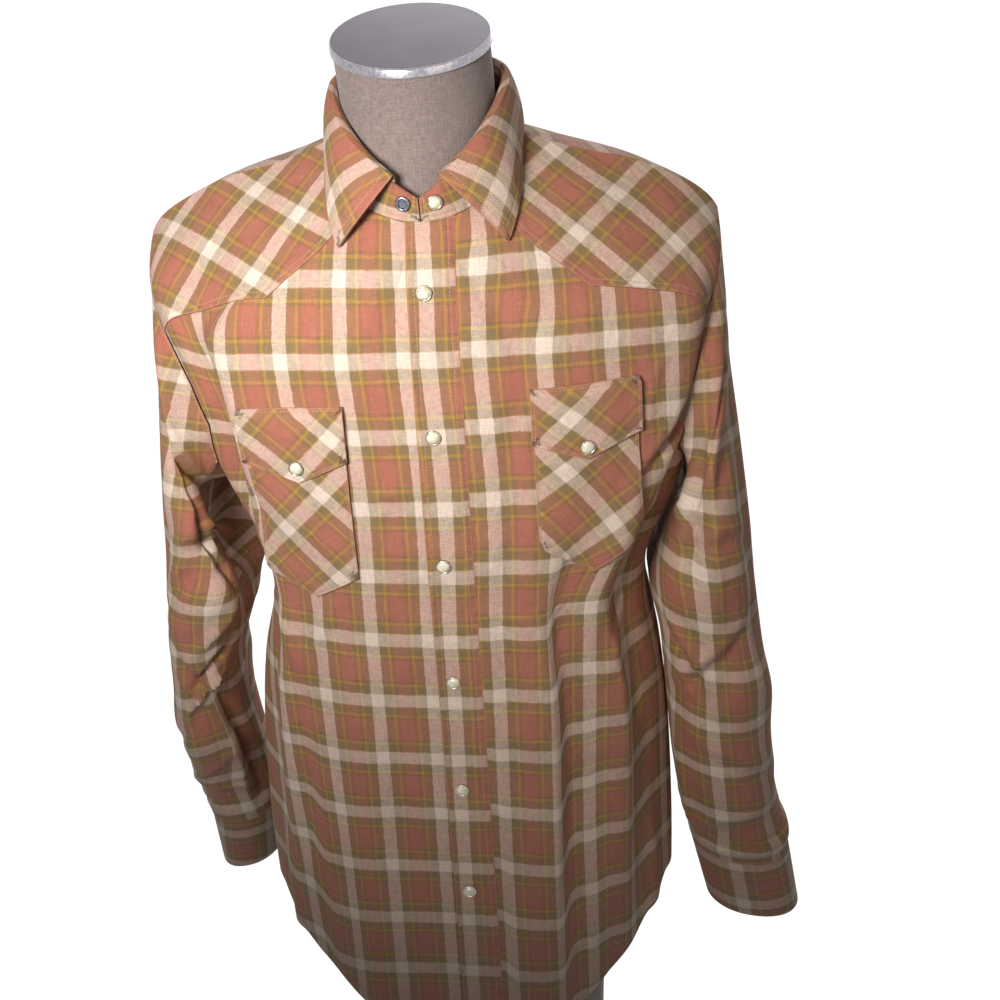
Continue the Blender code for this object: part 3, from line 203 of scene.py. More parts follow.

# %% [markdown]
# ## Folds and creases
#
# Flannel hangs in long soft folds and breaks into short creases where it is
# pulled.  Both are entered as lines with their own place, lean, width
# and height, and added along the surface's normal.  Most of the long folds are
# also in the solids.  The right side hollow and the left armpit crevice are only
# here.  The right chest edge and the right armhole hollow lie elsewhere here, and
# that hollow is deeper.  The creases are finer, and only this model has them.

# %% Long folds
FOLD_COLUMNS = ("angle_top", "drop_top", "angle_foot", "drop_foot", "bow",
                "width_in", "width_out", "height_top", "height_mid", "height_foot")
FOLDS = {
    "right chest edge":     (-42, 0.105, -50, 0.270, 7, 0.012, 0.024, 0.001, 0.007, 0.003),
    "right armhole hollow": (-50, 0.112, -60, 0.300, 6, 0.020, 0.012, -0.002, -0.017, -0.011),
    "right side hollow":    (-82, 0.250, -84, 0.370, 0, 0.030, 0.030, -0.003, -0.016, -0.003),
    "left chest edge":      (58, 0.110, 54, 0.210, 0, 0.022, 0.018, 0.002, 0.006, 0.002),
    "left armpit sweep":    (60, 0.190, 40, 0.360, -4, 0.024, 0.024, 0.003, 0.008, 0.003),
    "left armpit trough":   (70, 0.230, 56, 0.380, -3, 0.022, 0.022, -0.002, -0.007, -0.003),
    "left armpit crevice":  (69, 0.165, 48, 0.250, 4, 0.012, 0.012, -0.004, -0.014, -0.007),
    "left front step":      (21, 0.290, 18, 0.800, 0, 0.040, 0.016, 0.004, 0.012, 0.009),
    "left side step":       (42, 0.320, 44, 0.680, 2, 0.026, 0.016, 0.004, 0.010, 0.004),
    "right side step":      (-54, 0.320, -52, 0.680, 2, 0.016, 0.024, 0.004, 0.009, 0.004),
    "right front swell":    (-28, 0.420, -26, 0.800, 0, 0.034, 0.034, 0.001, 0.005, 0.006),
    "left seam fold":       (80, 0.440, 82, 0.660, 0, 0.018, 0.020, 0.001, 0.005, 0.003),
    "right seam fold":      (-80, 0.440, -82, 0.660, 0, 0.018, 0.020, 0.001, 0.005, 0.003),
    "back left shoulder":   (124, 0.200, 142, 0.440, -6, 0.022, 0.026, 0.002, 0.010, 0.003),
    "back right shoulder":  (-124, 0.200, -140, 0.460, 6, 0.022, 0.026, 0.002, 0.011, 0.003),
    "back left drop":       (152, 0.300, 148, 0.780, 0, 0.026, 0.020, 0.002, 0.012, 0.010),
    "back middle drop":     (178, 0.360, 174, 0.800, 3, 0.024, 0.028, 0.001, 0.010, 0.011),
    "back right drop":      (-148, 0.320, -152, 0.790, 0, 0.022, 0.026, 0.002, 0.012, 0.009),
    "back left side":       (112, 0.340, 116, 0.700, 0, 0.020, 0.022, 0.003, 0.011, 0.006),
    "back right side":      (-110, 0.340, -116, 0.700, 0, 0.022, 0.020, 0.003, 0.010, 0.007),
}
GIRTH_PER_DEGREE = 0.0027      # cloth round the body for one degree of angle
FOLD_END_FADE = 0.035          # length over which a fold dies out past its ends

# %% Short creases
CREASES = {
    "right yoke roll":       (-60, 0.082, -44, 0.124, 0, 0.010, 0.016, 0.0010, 0.0036, 0.0016),
    "right yoke hollow":     (-68, 0.088, -52, 0.126, 0, 0.014, 0.010, -0.0010, -0.0034, -0.0020),
    "right yoke pull":       (-47, 0.150, -38, 0.215, 1, 0.008, 0.010, 0.0006, 0.0022, 0.0004),
    "right chest dent":      (-40, 0.230, -46, 0.330, -2, 0.012, 0.014, -0.0006, -0.0026, -0.0008),
    "right pocket foot":     (-30, 0.345, -42, 0.400, 1, 0.010, 0.010, 0.0006, 0.0024, 0.0006),
    "right waist drag":      (-62, 0.350, -38, 0.440, 2, 0.010, 0.012, 0.0008, 0.0030, 0.0006),
    "right hip roll":        (-36, 0.560, -44, 0.690, -2, 0.012, 0.010, 0.0006, 0.0030, 0.0012),
    "right tail fold":       (-62, 0.560, -56, 0.690, 1, 0.010, 0.010, 0.0006, 0.0036, 0.0030),
    "collar slit":           (-9, 0.066, -6, 0.126, 0, 0.0030, 0.0045, -0.0012, -0.0046, -0.0014),
    "collar drag":           (-18, 0.066, -9, 0.150, 0, 0.008, 0.006, 0.0008, 0.0034, 0.0012),
    "placket valley":        (14, 0.080, 9, 0.230, 1, 0.005, 0.010, -0.0010, -0.0034, -0.0016),
    "placket lower valley":  (10, 0.230, 9, 0.640, 1, 0.005, 0.012, -0.0014, -0.0028, -0.0020),
    "right snap pull":       (-5, 0.250, -13, 0.262, 0, 0.012, 0.012, 0.0003, 0.0012, 0.0003),
    "left snap pull":        (8, 0.350, 16, 0.364, 0, 0.012, 0.012, 0.0003, 0.0014, 0.0004),
    "left lower snap pull":  (9, 0.452, 17, 0.480, 0, 0.012, 0.010, 0.0003, 0.0014, 0.0003),
    "left yoke pull":        (46, 0.160, 44, 0.230, -2, 0.010, 0.008, 0.0005, 0.0020, 0.0006),
    "left armpit break":     (74, 0.250, 58, 0.300, -2, 0.008, 0.010, 0.0010, 0.0040, 0.0008),
    "left armpit hollow":    (70, 0.275, 50, 0.345, -2, 0.008, 0.009, -0.0008, -0.0034, -0.0008),
    "left waist drag":       (64, 0.355, 40, 0.430, -3, 0.010, 0.012, 0.0006, 0.0030, 0.0006),
    "left step lip":         (22, 0.350, 20, 0.660, 0.6, 0.006, 0.007, 0.0006, 0.0026, 0.0010),
    "left step shadow":      (26, 0.350, 24, 0.640, 0.6, 0.006, 0.010, -0.0006, -0.0030, -0.0010),
    "left side lip":         (44, 0.340, 46, 0.560, 1.5, 0.006, 0.007, 0.0004, 0.0022, 0.0006),
    "left hip roll":         (34, 0.600, 30, 0.720, 1, 0.014, 0.012, 0.0006, 0.0026, 0.0016),
    "left tail flare":       (60, 0.560, 62, 0.700, 1, 0.012, 0.012, 0.0006, 0.0034, 0.0030),
    "centre front slack":    (-12, 0.470, -15, 0.600, 1, 0.012, 0.012, -0.0004, -0.0018, -0.0006),
    "back left blade":       (150, 0.180, 138, 0.280, 3, 0.012, 0.014, 0.0006, 0.0030, 0.0008),
    "back right blade":      (-152, 0.190, -138, 0.300, -3, 0.014, 0.012, 0.0006, 0.0028, 0.0008),
    "back waist left":       (120, 0.400, 150, 0.450, 3, 0.010, 0.012, 0.0006, 0.0030, 0.0006),
    "back waist right":      (-116, 0.390, -150, 0.462, -3, 0.012, 0.010, 0.0006, 0.0032, 0.0006),
    "back left drape":       (163, 0.420, 161, 0.700, 1, 0.010, 0.012, -0.0004, -0.0026, -0.0010),
    "back right drape":      (-164, 0.440, -166, 0.730, 1, 0.012, 0.010, -0.0004, -0.0028, -0.0012),
    "back left armpit":      (106, 0.270, 128, 0.330, 2, 0.009, 0.009, 0.0008, 0.0036, 0.0006),
    "back right armpit":     (-106, 0.280, -130, 0.345, -2, 0.009, 0.009, 0.0008, 0.0036, 0.0006),
}
print(len(FOLDS), "folds and", len(CREASES), "creases")

# %% Lay the folds on the body
def fold_sum(table, angle, drop):
    """Sum of a table's folds at places round and down the body."""
    total = np.zeros_like(drop)
    for values in table.values():
        fold = dict(zip(FOLD_COLUMNS, values))
        length = fold["drop_foot"] - fold["drop_top"]
        t = (drop - fold["drop_top"]) / length
        inside = np.clip(t, 0.0, 1.0)
        line = (fold["angle_top"] + (fold["angle_foot"] - fold["angle_top"]) * inside
                + fold["bow"] * 4.0 * inside * (1.0 - inside))
        aside = wrapped(angle - line) * GIRTH_PER_DEGREE
        width = np.where(aside < 0.0, fold["width_in"], fold["width_out"])
        height = (fold["height_top"] * (1 - inside) * (1 - 2 * inside)
                  + fold["height_mid"] * 4 * inside * (1 - inside)
                  + fold["height_foot"] * inside * (2 * inside - 1))
        fade = min(FOLD_END_FADE, 0.45 * abs(length))
        overrun = np.abs(t - inside) * abs(length) / fade
        total = total + height * np.exp(-(aside / width) ** 2 - overrun**2)
    return total


def body_base(angle, row):
    return ring_points(RINGS, angle, row)


def body(angle, row, lift=0.0):
    """The cloth's outer face over the body, lifted along the smooth normal."""
    angle, row = np.broadcast_arrays(np.asarray(angle, float), np.asarray(row, float))
    point = body_base(angle, row)
    normal = surface_normal(body_base, angle, row)
    drop = NECK_POINT_HEIGHT - point[..., 2]
    folds = fold_sum(FOLDS, angle, drop) + fold_sum(CREASES, angle, drop)
    return point + normal * (folds + lift)[..., None]


def row_at_drop(angle, drop):
    """Ring row at which the body's surface reaches a drop, for each angle."""
    angle, drop = np.broadcast_arrays(np.asarray(angle, float), np.asarray(drop, float))
    rows = np.linspace(0.0, len(RINGS) - 1.0, 401)
    result = np.empty(angle.shape)
    for index in np.ndindex(angle.shape):
        drops = NECK_POINT_HEIGHT - body_base(angle[index], rows)[:, 2]
        result[index] = np.interp(drop[index], drops, rows)
    return result


def angle_at_x(x, row):
    """Angle on the front where the body's surface reaches a sideways place."""
    x, row = np.broadcast_arrays(np.asarray(x, float), np.asarray(row, float))
    angles = np.linspace(-89.0, 89.0, 357)
    result = np.empty(x.shape)
    for index in np.ndindex(x.shape):
        reach = body_base(angles, row[index])[:, 0]
        result[index] = np.interp(x[index], reach, angles)
    return result


def hem_row(angle):
    drop = np.interp(angle, list(HEM), list(HEM.values()))
    return row_at_drop(angle, drop)


def armhole_angle(row, edge):
    """Angle of the armhole's forward or backward edge at a row, on the left side."""
    table = named(ARMHOLE_COLUMNS, ARMHOLE)
    reach = np.interp(row, table["row"], table[edge])
    return 90.0 - reach if edge == "forward" else 90.0 + reach


chest = body(np.array([0.0]), np.array([5.0]))
print("cloth at the chest stands at", chest[0].round(4))

# %% [markdown]
# ## Where the plaid falls
#
# A woven pattern must bend with the cloth, so each point carries its place in
# the flat cloth: metres along the weft and along the warp.  Over the body those
# come from adding up short steps on the folded surface, round from the centre
# line and down from the underarm.  They are worked out once as a grid, and read
# from it for every panel.  Past a fold that is lapped over itself the pattern
# starts again higher up, which the hitches add.

# %% Flat cloth places over the body
HITCH_COLUMNS = ("angle_top", "angle_foot", "soft", "towards", "stripe", "band", "start", "full")
HITCHES = {
    "left front step":    (24, 21, 2.5, 1, 0.014, 0.014, 0.300, 0.360),
    "left front lag":     (24, 21, 6.0, 1, 0.000, 0.007, 0.420, 0.640),
    "left side step":     (45, 47, 3.0, 1, 0.006, 0.004, 0.320, 0.400),
    "left chest ease":    (14, 14, 12.0, 1, -0.004, 0.000, 0.340, 0.260),
    "right side step":    (-57, -55, 3.0, -1, -0.006, 0.006, 0.360, 0.440),
    "right front uptake": (-18, -18, 14.0, -1, -0.009, 0.000, 0.380, 0.700),
    "right chest uptake": (-50, -50, 6.0, -1, -0.009, 0.000, 0.100, 0.200),
    "right lower lag":    (9, 9, 3.0, -1, 0.000, 0.011, 0.400, 0.740),
    "right side lag":     (-36, -36, 8.0, -1, -0.003, 0.024, 0.400, 0.620),
    "left side lag":      (31, 31, 8.0, 1, 0.000, 0.007, 0.400, 0.500),
    "left seam lag":      (54, 54, 6.0, 1, -0.009, 0.006, 0.380, 0.480),
    "right chest slack":  (-43, -43, 4.0, -1, -0.013, -0.007, 0.080, 0.120),
    "right chest return": (-43, -43, 4.0, -1, 0.013, 0.007, 0.230, 0.320),
}
HITCH_TOP, HITCH_LENGTH = 0.3, 0.5    # drops over which a hitch leans from top to foot angle
MAP_ANGLES = np.linspace(-180.0, 180.0, 361)
MAP_ROWS = np.linspace(0.0, len(RINGS) - 1.0, 161)


def body_cloth_map():
    """Weft and warp places on a grid of angles and rows, from the centre front."""
    angle, row = np.meshgrid(MAP_ANGLES, MAP_ROWS, indexing="ij")
    point = body_base(angle, row)
    drop = NECK_POINT_HEIGHT - point[..., 2]
    point = point + surface_normal(body_base, angle, row) * fold_sum(FOLDS, angle, drop)[..., None]
    level = np.hypot(*np.diff(point[..., :2], axis=0).transpose(2, 0, 1))
    weft = np.concatenate([np.zeros((1, len(MAP_ROWS))), np.cumsum(level, axis=0)])
    weft = weft - weft[180]
    down = np.hypot(*np.diff(point[..., 1:], axis=1).transpose(2, 0, 1))
    warp = np.concatenate([np.zeros((len(MAP_ANGLES), 1)), np.cumsum(down, axis=1)], axis=1)
    start = int(np.argmin(np.abs(MAP_ROWS - UNDERARM_ROW)))
    warp = warp - warp[:, start:start + 1] + drop[:, start:start + 1]
    for values in HITCHES.values():
        hitch = dict(zip(HITCH_COLUMNS, values))
        share = np.clip((drop - HITCH_TOP) / HITCH_LENGTH, 0.0, 1.0)
        line = hitch["angle_top"] + (hitch["angle_foot"] - hitch["angle_top"]) * share
        past = smooth_step(0.0, hitch["soft"], hitch["towards"] * (angle - line))
        past = past * smooth_step(hitch["start"], hitch["full"], drop) * (np.abs(angle) <= 90.0)
        weft = weft + hitch["stripe"] * past
        warp = warp + hitch["band"] * past
    return weft, warp


BODY_WEFT, BODY_WARP = body_cloth_map()


def read_map(table, angle, row):
    """Straight-line reading of a body map between its grid points."""
    a = np.clip((angle - MAP_ANGLES[0]) / (MAP_ANGLES[1] - MAP_ANGLES[0]), 0, len(MAP_ANGLES) - 1.001)
    b = np.clip(row / (MAP_ROWS[1] - MAP_ROWS[0]), 0, len(MAP_ROWS) - 1.001)
    i, j = a.astype(int), b.astype(int)
    a, b = a - i, b - j
    return ((1 - a) * ((1 - b) * table[i, j] + b * table[i, j + 1])
            + a * ((1 - b) * table[i + 1, j] + b * table[i + 1, j + 1]))


def body_cloth(angle, row, from_back=False):
    """Weft and warp places of body points, measured from centre front or centre back."""
    angle, row = np.broadcast_arrays(np.asarray(angle, float), np.asarray(row, float))
    weft = read_map(BODY_WEFT, wrapped(angle), row)
    if from_back:
        side = np.where(wrapped(angle) > 0.0, 180, -180)
        weft = weft - read_map(BODY_WEFT, side, row)
    return np.stack([weft, read_map(BODY_WARP, wrapped(angle), row)], axis=-1)


print("cloth round the front at the waist", round(float(BODY_WEFT[270, 128] - BODY_WEFT[90, 128]), 3))

# %% [markdown]
# ## The plaid's places, piece by piece
#
# Each piece is cut from the cloth at its own spot, so the pattern shifts from
# piece to piece, and a piece on the bias is turned, by 37 to 63 degrees at the
# front and 45 at the back.  The table gives that turn and where a cream stripe
# and a cream band pass.  The left flap is turned by 135 degrees, which is on the
# bias the other way, and a cuff's stripes run nearly round the wrist.

# %% Plaid places
PLAID_PLACES = {                # turn, and the shift of the stripes and of the bands
    "front_left": (0, 0.036, 0.091),
    "front_right": (0, -0.016, 0.097),
    "placket": (0, 0.001, 0.097),
    "back": (0, 0.0, 0.095),
    "yoke_front_left": (63, 0.006, 0.030),
    "yoke_front_right": (50, 0.026, 0.007),
    "yoke_back": (45, 0.0, 0.0),
    "pocket_left": (37, 0.012, 0.020),
    "pocket_right": (45, 0.022, 0.004),
    "flap_left": (135, 0.014, 0.036),
    "flap_right": (45, 0.020, 0.038),
    "sleeve_left": (0, 0.003, 0.040),
    "sleeve_right": (-4, -0.005, 0.034),
    "cuff_left": (88, 0.015, 0.005),
    "cuff_right": (82, 0.008, 0.014),
    "collar_stand": (0, 0.0, 0.030),
    "collar_fall": (1.6, 0.025, 0.015),
}


def place_on_plaid(name, flat):
    """Turn and shift flat places so that the plaid falls as on this piece."""
    turn, stripe, band = PLAID_PLACES[name]
    cosine, sine = math.cos(math.radians(turn)), math.sin(math.radians(turn))
    weft = cosine * flat[..., 0] - sine * flat[..., 1] - stripe
    warp = sine * flat[..., 0] + cosine * flat[..., 1] - band
    return np.stack([weft, warp], axis=-1)


print(len(PLAID_PLACES), "pieces placed on the plaid")

# %% [markdown]
# ## A wall of cloth
#
# Every cloth piece is made the same way: a flat grid is created, its corners are
# moved to the outer face, and the whole grid is extruded inwards to give a
# closed wall.  Two attributes ride along for the materials: `cloth`, the place
# in the flat cloth, and `seam`, the distance to the nearest sewn edge, the
# place along it and how far in the thread runs.

# %% Make a wall from a grid
EDGE_PLACES = {"first_column": (np.s_[0], np.s_[1]), "last_column": (np.s_[-1], np.s_[-2]),
               "first_row": (np.s_[:, 0], np.s_[:, 1]), "last_row": (np.s_[:, -1], np.s_[:, -2])}
SEAM_REACH = 0.03              # seam distances are worked out this far in
# How far in from the sewn edge each kind of piece is stitched.
THREAD_IN = {"panel": 0.006, "yoke": 0.0045, "placket": 0.005, "pocket": 0.0022, "flap": 0.0025,
             "sleeve": 0.0015, "cuff": 0.005, "collar_fall": 0.006, "collar_stand": 0.003}
AREA_LIMITS = (0.31, 0.999)    # a sheet's area is held to these shares of its width by length


def trim(points, edges):
    """Pull the named edges of a grid back by half a seam gap."""
    points = points.copy()
    half = 0.5 * SEAM_GAP + ROUNDING
    for edge in edges:
        near, next_in = EDGE_PLACES[edge]
        step = points[next_in] - points[near]
        points[near] = points[near] + half * step / np.linalg.norm(step, axis=-1, keepdims=True)
    return points


def seam_places(points, edges):
    """Distance from each grid point to the named edges, and the place along them."""
    distance = np.full(points.shape[:2], SEAM_REACH)
    along = np.zeros(points.shape[:2])
    for number, edge in enumerate(edges):
        line = points[EDGE_PLACES[edge][0]]
        start, step = line[:-1], np.diff(line, axis=0)
        length = np.linalg.norm(step, axis=-1)
        travelled = np.concatenate([[0.0], np.cumsum(length)])[:-1]
        gap = np.linalg.norm(points[:, :, None] - line[None, None, ::4], axis=-1).min(axis=2)
        close = np.argwhere(gap < SEAM_REACH)
        for first in range(0, len(close), 4000):
            i, j = close[first:first + 4000].T
            offset = points[i, j][:, None] - start
            share = np.clip(np.sum(offset * step, axis=-1) / np.maximum(length**2, 1e-12), 0.0, 1.0)
            away = np.linalg.norm(offset - share[..., None] * step, axis=-1)
            best = np.argmin(away, axis=1)
            rows = np.arange(len(best))
            nearer = away[rows, best] < distance[i, j]
            distance[i[nearer], j[nearer]] = away[rows, best][nearer]
            place = travelled[best] + share[rows, best] * length[best] + number
            along[i[nearer], j[nearer]] = place[nearer]
    return distance, along


def cloth_wall(name, outer, inner, flat, seam, thread):
    """A closed wall between two grids of points, made by extruding a grid."""
    columns, rows = outer.shape[:2]
    mesh = bmesh.new()
    inside = mesh.verts.layers.float_vector.new("inside")
    cloth = mesh.verts.layers.float_vector.new("cloth")
    sewn = mesh.verts.layers.float_vector.new("seam")
    bmesh.ops.create_grid(mesh, x_segments=columns - 1, y_segments=rows - 1, size=0.5)
    flat = place_on_plaid(name, flat)
    for vertex in mesh.verts:
        i = round((vertex.co.x + 0.5) * (columns - 1))
        j = round((vertex.co.y + 0.5) * (rows - 1))
        vertex.co = outer[i, j]
        vertex[inside] = inner[i, j]
        vertex[cloth] = (*flat[i, j], 0.0)
        vertex[sewn] = (seam[0][i, j], seam[1][i, j], thread)
    grown = bmesh.ops.extrude_face_region(mesh, geom=mesh.faces[:])
    for item in grown["geom"]:
        if isinstance(item, bmesh.types.BMVert):
            item.co = item[inside]
    mesh.verts.layers.float_vector.remove(mesh.verts.layers.float_vector["inside"])
    bmesh.ops.recalc_face_normals(mesh, faces=mesh.faces[:])
    return add_piece(name + "_cloth", mesh)


def add_piece(name, mesh, crease=40):
    data = bpy.data.meshes.new(name)
    mesh.to_mesh(data)
    mesh.free()
    data.shade_smooth()
    data.set_sharp_from_angle(angle=math.radians(crease))
    item = bpy.data.objects.new(name, data)
    bpy.context.scene.collection.objects.link(item)
    return item


def flat_size(flat):
    """Width and length of the flat cut that a grid of flat places covers."""
    wide = flat[..., 0].max() - flat[..., 0].min()
    long = flat[..., 1].max() - flat[..., 1].min()
    return float(wide), float(long)


def surface_area(points):
    """Area of a grid of points as it hangs, two triangles to each square."""
    across = points[1:, :-1] - points[:-1, :-1]
    down = points[:-1, 1:] - points[:-1, :-1]
    far_across = points[:-1, 1:] - points[1:, 1:]
    far_down = points[1:, :-1] - points[1:, 1:]
    first = np.linalg.norm(np.cross(across, down), axis=-1)
    second = np.linalg.norm(np.cross(far_across, far_down), axis=-1)
    return 0.5 * float(first.sum() + second.sum())


def settle(piece, node, slot, flat, outer):
    """Give a finished cloth piece its material, hang it from the root, hide the solid it replaces, and
    print the size it was cut to.
    """
    piece.data.materials.append(PLAID[slot])
    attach(piece, "root")
    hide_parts(node)
    width, length = flat_size(flat)
    low, high = [share * width * length for share in AREA_LIMITS]
    area = max(min(surface_area(outer), high), low)
    print(f"{piece.name}: cut {width:.3f} x {length:.3f} m, {len(piece.data.polygons)} faces")


PLAID = {slot: bpy.data.materials.new("plaid_" + slot) for slot in ("flannel", "flannel_bias")}
print("plaid materials", list(PLAID))

# %% [markdown]
# ## Fronts, back and yokes
#
# A panel is a grid of angles and rows laid on the body surface.  Each front runs
# from the neck seam, round the turned corner of the yoke and along its seam to
# the armhole, down to the shirttail hem.  The yokes fill in above.  A yoke is
# sewn over the panel below it, so its edge stands slightly proud.

# %% Hem, armholes and yoke seams
# Drop of the shirttail hem round the body: centre front, side seams, centre back.
HEM = {
    -180: 0.800, -150: 0.790, -125: 0.742, -105: 0.678, -90: 0.655,
    -72: 0.661, -52: 0.686, -34: 0.730, -18: 0.772, 0: 0.784,
    18: 0.772, 36: 0.724, 56: 0.680, 74: 0.658, 90: 0.655,
    105: 0.672, 125: 0.732, 150: 0.786, 180: 0.800,
}
# Front edge of the armhole, as degrees forward of the side line, and its back edge.
ARMHOLE_COLUMNS = ("row", "forward", "backward")
ARMHOLE = (
    (3.0, 0.0, 0.0),
    (3.2, 12.0, 9.0),
    (3.6, 22.0, 15.0),
    (4.2, 29.0, 19.0),
    (4.8, 30.0, 19.0),
    (5.4, 24.0, 16.0),
    (5.8, 12.0, 9.0),
    (6.0, 0.0, 0.0),
)
YOKE_START_ANGLE = 42.0        # on the neck seam, under the collar
YOKE_CORNER = (39.0, 2.15)     # angle and ring row of the yoke's turned corner
YOKE_SEAM_SAG = 1.15           # above 1 the seam hangs low before it reaches the armhole
YOKE_ARMHOLE_ROW = 3.62        # where the front yoke seam meets the armhole
CHEST_ROW = 4.3                # the fronts' columns run straight down from here
BACK_YOKE_ARMHOLE_ROW = 3.55
BACK_YOKE_POINT_ROW = 4.15     # the shallow point at centre back
BACK_YOKE_SAG = 1.3

FINE = 5                       # grid steps here for one step of the solid's grid
NECK_STEPS = 4 * FINE
TURN_STEPS = 4 * FINE
YOKE_STEPS = 6 * FINE
UPPER_STEPS = 5 * 4
ARMHOLE_STEPS = 7 * 4
BODY_STEPS = 13 * 12
YOKE_DEPTH_STEPS = 6 * 6
BACK_STEPS = 20 * 7
FRONT_MEETING = {1: 0.0105, -1: 0.0100}   # X of each front's edge under the placket
SEAM_RIDGE = 0.0007            # a sewn-over edge stands this far proud
YOKE_EDGES = ("first_row", "last_row", "first_column", "last_column")
RIDGE_FADE = (0.003, 0.012)    # and comes down between these distances from the seam
SIDES = ((1, "left"), (-1, "right"))


def joined(*stretches):
    """Chain stretches of places, leaving out the repeated ends."""
    chain = [stretches[0]] + [stretch[1:] for stretch in stretches[1:]]
    return np.concatenate(chain)


def between(start, end, steps):
    return np.linspace(start, end, steps + 1)


def body_panel(name, angle, row, edges, sewn, thread, lift=0.0, from_back=False):
    """A wall over the body, from grids of angle and row."""
    face = body(angle, row, lift)
    seam = seam_places(face, sewn)
    outer = trim(face, edges)
    inner = trim(body(angle, row, lift - CLOTH), edges)
    flat = body_cloth(angle, row, from_back)
    return cloth_wall(name, outer, inner, flat, seam, thread), outer, flat

# %% Fronts
def front_top(side, meeting_angle):
    """Angles and rows of a front's top edge: neck seam, yoke turn, yoke seam."""
    corner_angle, corner_row = YOKE_CORNER
    end_angle = armhole_angle(YOKE_ARMHOLE_ROW, "forward")
    angle = joined(between(side * meeting_angle, YOKE_START_ANGLE, NECK_STEPS),
                   between(YOKE_START_ANGLE, corner_angle, TURN_STEPS),
                   between(corner_angle, end_angle, YOKE_STEPS))
    sag = between(0, 1, YOKE_STEPS) ** YOKE_SEAM_SAG
    seam_row = corner_row + (YOKE_ARMHOLE_ROW - corner_row) * sag
    row = joined(between(0.0, 0.0, NECK_STEPS), between(0.0, corner_row, TURN_STEPS), seam_row)
    return side * angle, row


def front_grid(side):
    """Angles and rows of a front, from the placket to the side seam."""
    meeting = FRONT_MEETING[side]
    top_angle, top_row = front_top(side, angle_at_x(meeting, 0.0))
    columns = len(top_angle)
    fraction = between(0.0, 1.0, columns - 1)
    hem = hem_row(side * 90.0 * fraction)
    lower = joined(between(CHEST_ROW, UNDERARM_ROW, ARMHOLE_STEPS),
                   between(UNDERARM_ROW, UNDERARM_ROW + 1.0, BODY_STEPS))
    outer_edge = side * armhole_angle(np.minimum(lower, UNDERARM_ROW), "forward")
    angle = np.empty((columns, UPPER_STEPS + len(lower)))
    row = np.empty_like(angle)
    slide = between(0.0, 1.0, UPPER_STEPS)
    start_angle = angle_at_x(meeting, CHEST_ROW)
    armhole_row = YOKE_ARMHOLE_ROW + (CHEST_ROW - YOKE_ARMHOLE_ROW) * slide
    straight = top_angle[-1] + (outer_edge[0] - top_angle[-1]) * slide
    curve = side * armhole_angle(armhole_row, "forward") - straight
    inner_line = angle_at_x(meeting, CHEST_ROW * slide)
    inner_curve = inner_line - (inner_line[0] + (inner_line[-1] - inner_line[0]) * slide)
    for k in range(columns):
        level = start_angle + (outer_edge[0] - start_angle) * fraction[k]
        upper_angle = (top_angle[k] + (level - top_angle[k]) * slide + curve * fraction[k] ** 4
                       + inner_curve * (1.0 - fraction[k]) ** 4)
        upper_row = top_row[k] + (CHEST_ROW - top_row[k]) * slide
        share = np.clip(lower - UNDERARM_ROW, 0.0, 1.0)
        lower_row = np.minimum(lower, UNDERARM_ROW) + (hem[k] - UNDERARM_ROW) * share
        inner = angle_at_x(meeting, lower_row)
        angle[k] = joined(upper_angle, inner + (outer_edge - inner) * fraction[k])
        row[k] = joined(upper_row, lower_row)
    return angle, row


for side, label in SIDES:
    angle, row = front_grid(side)
    piece, outer, flat = body_panel("front_" + label, angle, row,
                                    ("first_row", "first_column", "last_column"),
                                    ("last_row",), THREAD_IN["panel"])
    settle(piece, "front_" + label, "flannel", flat, outer)

# %% Front yokes
def unrolled(points):
    """Flat places of a yoke: along its shoulder line, and down the grid's columns."""
    shoulder = points[-1, -1] - points[0, -1]
    shoulder = shoulder / np.linalg.norm(shoulder)
    along = (points - points[0, -1]) @ shoulder
    step = np.diff(points[:, ::-1], axis=1)
    across = np.linalg.norm(step - (step @ shoulder)[..., None] * shoulder, axis=-1)
    down = np.concatenate([np.zeros((len(points), 1)), np.cumsum(across, axis=1)], axis=1)
    return np.stack([along, down[:, ::-1]], axis=-1)


def front_yoke_grid(side):
    """Angles and rows of a front yoke, from its seam up to the shoulder line."""
    meeting_top = angle_at_x(FRONT_MEETING[side], 0.0)
    top_angle, top_row = front_top(side, meeting_top)
    seam_angle, seam_row = side * top_angle[NECK_STEPS:], top_row[NECK_STEPS:]
    count = len(seam_angle)
    share = between(0.0, 1.0, YOKE_DEPTH_STEPS)
    shoulder_row = between(0.0, TIP_ROW, count - 1)
    along = between(0.0, 1.0, count - 1)
    angle = seam_angle[:, None] + (90.0 - seam_angle[:, None]) * share
    row = seam_row[:, None] + (shoulder_row[:, None] - seam_row[:, None]) * share
    edge = armhole_angle(row[-1], "forward")
    angle = angle + along[:, None] ** 4 * (edge - angle[-1])
    return side * angle, row


def make_yoke(name, angle, row, unroll):
    """A yoke's wall, proud along the seam where it is sewn over the panel below."""
    base = body(angle, row)
    seam = seam_places(base, ("first_row",))
    rise = SEAM_RIDGE * (1.0 - smooth_step(*RIDGE_FADE, seam[0]))
    outer = trim(body(angle, row, rise), YOKE_EDGES)
    inner = trim(body(angle, row, rise - CLOTH), YOKE_EDGES)
    flat = unroll(base)
    piece = cloth_wall(name, outer, inner, flat, seam, THREAD_IN["yoke"])
    settle(piece, name, "flannel_bias", flat, outer)


for side, label in SIDES:
    make_yoke("yoke_front_" + label, *front_yoke_grid(side), unrolled)

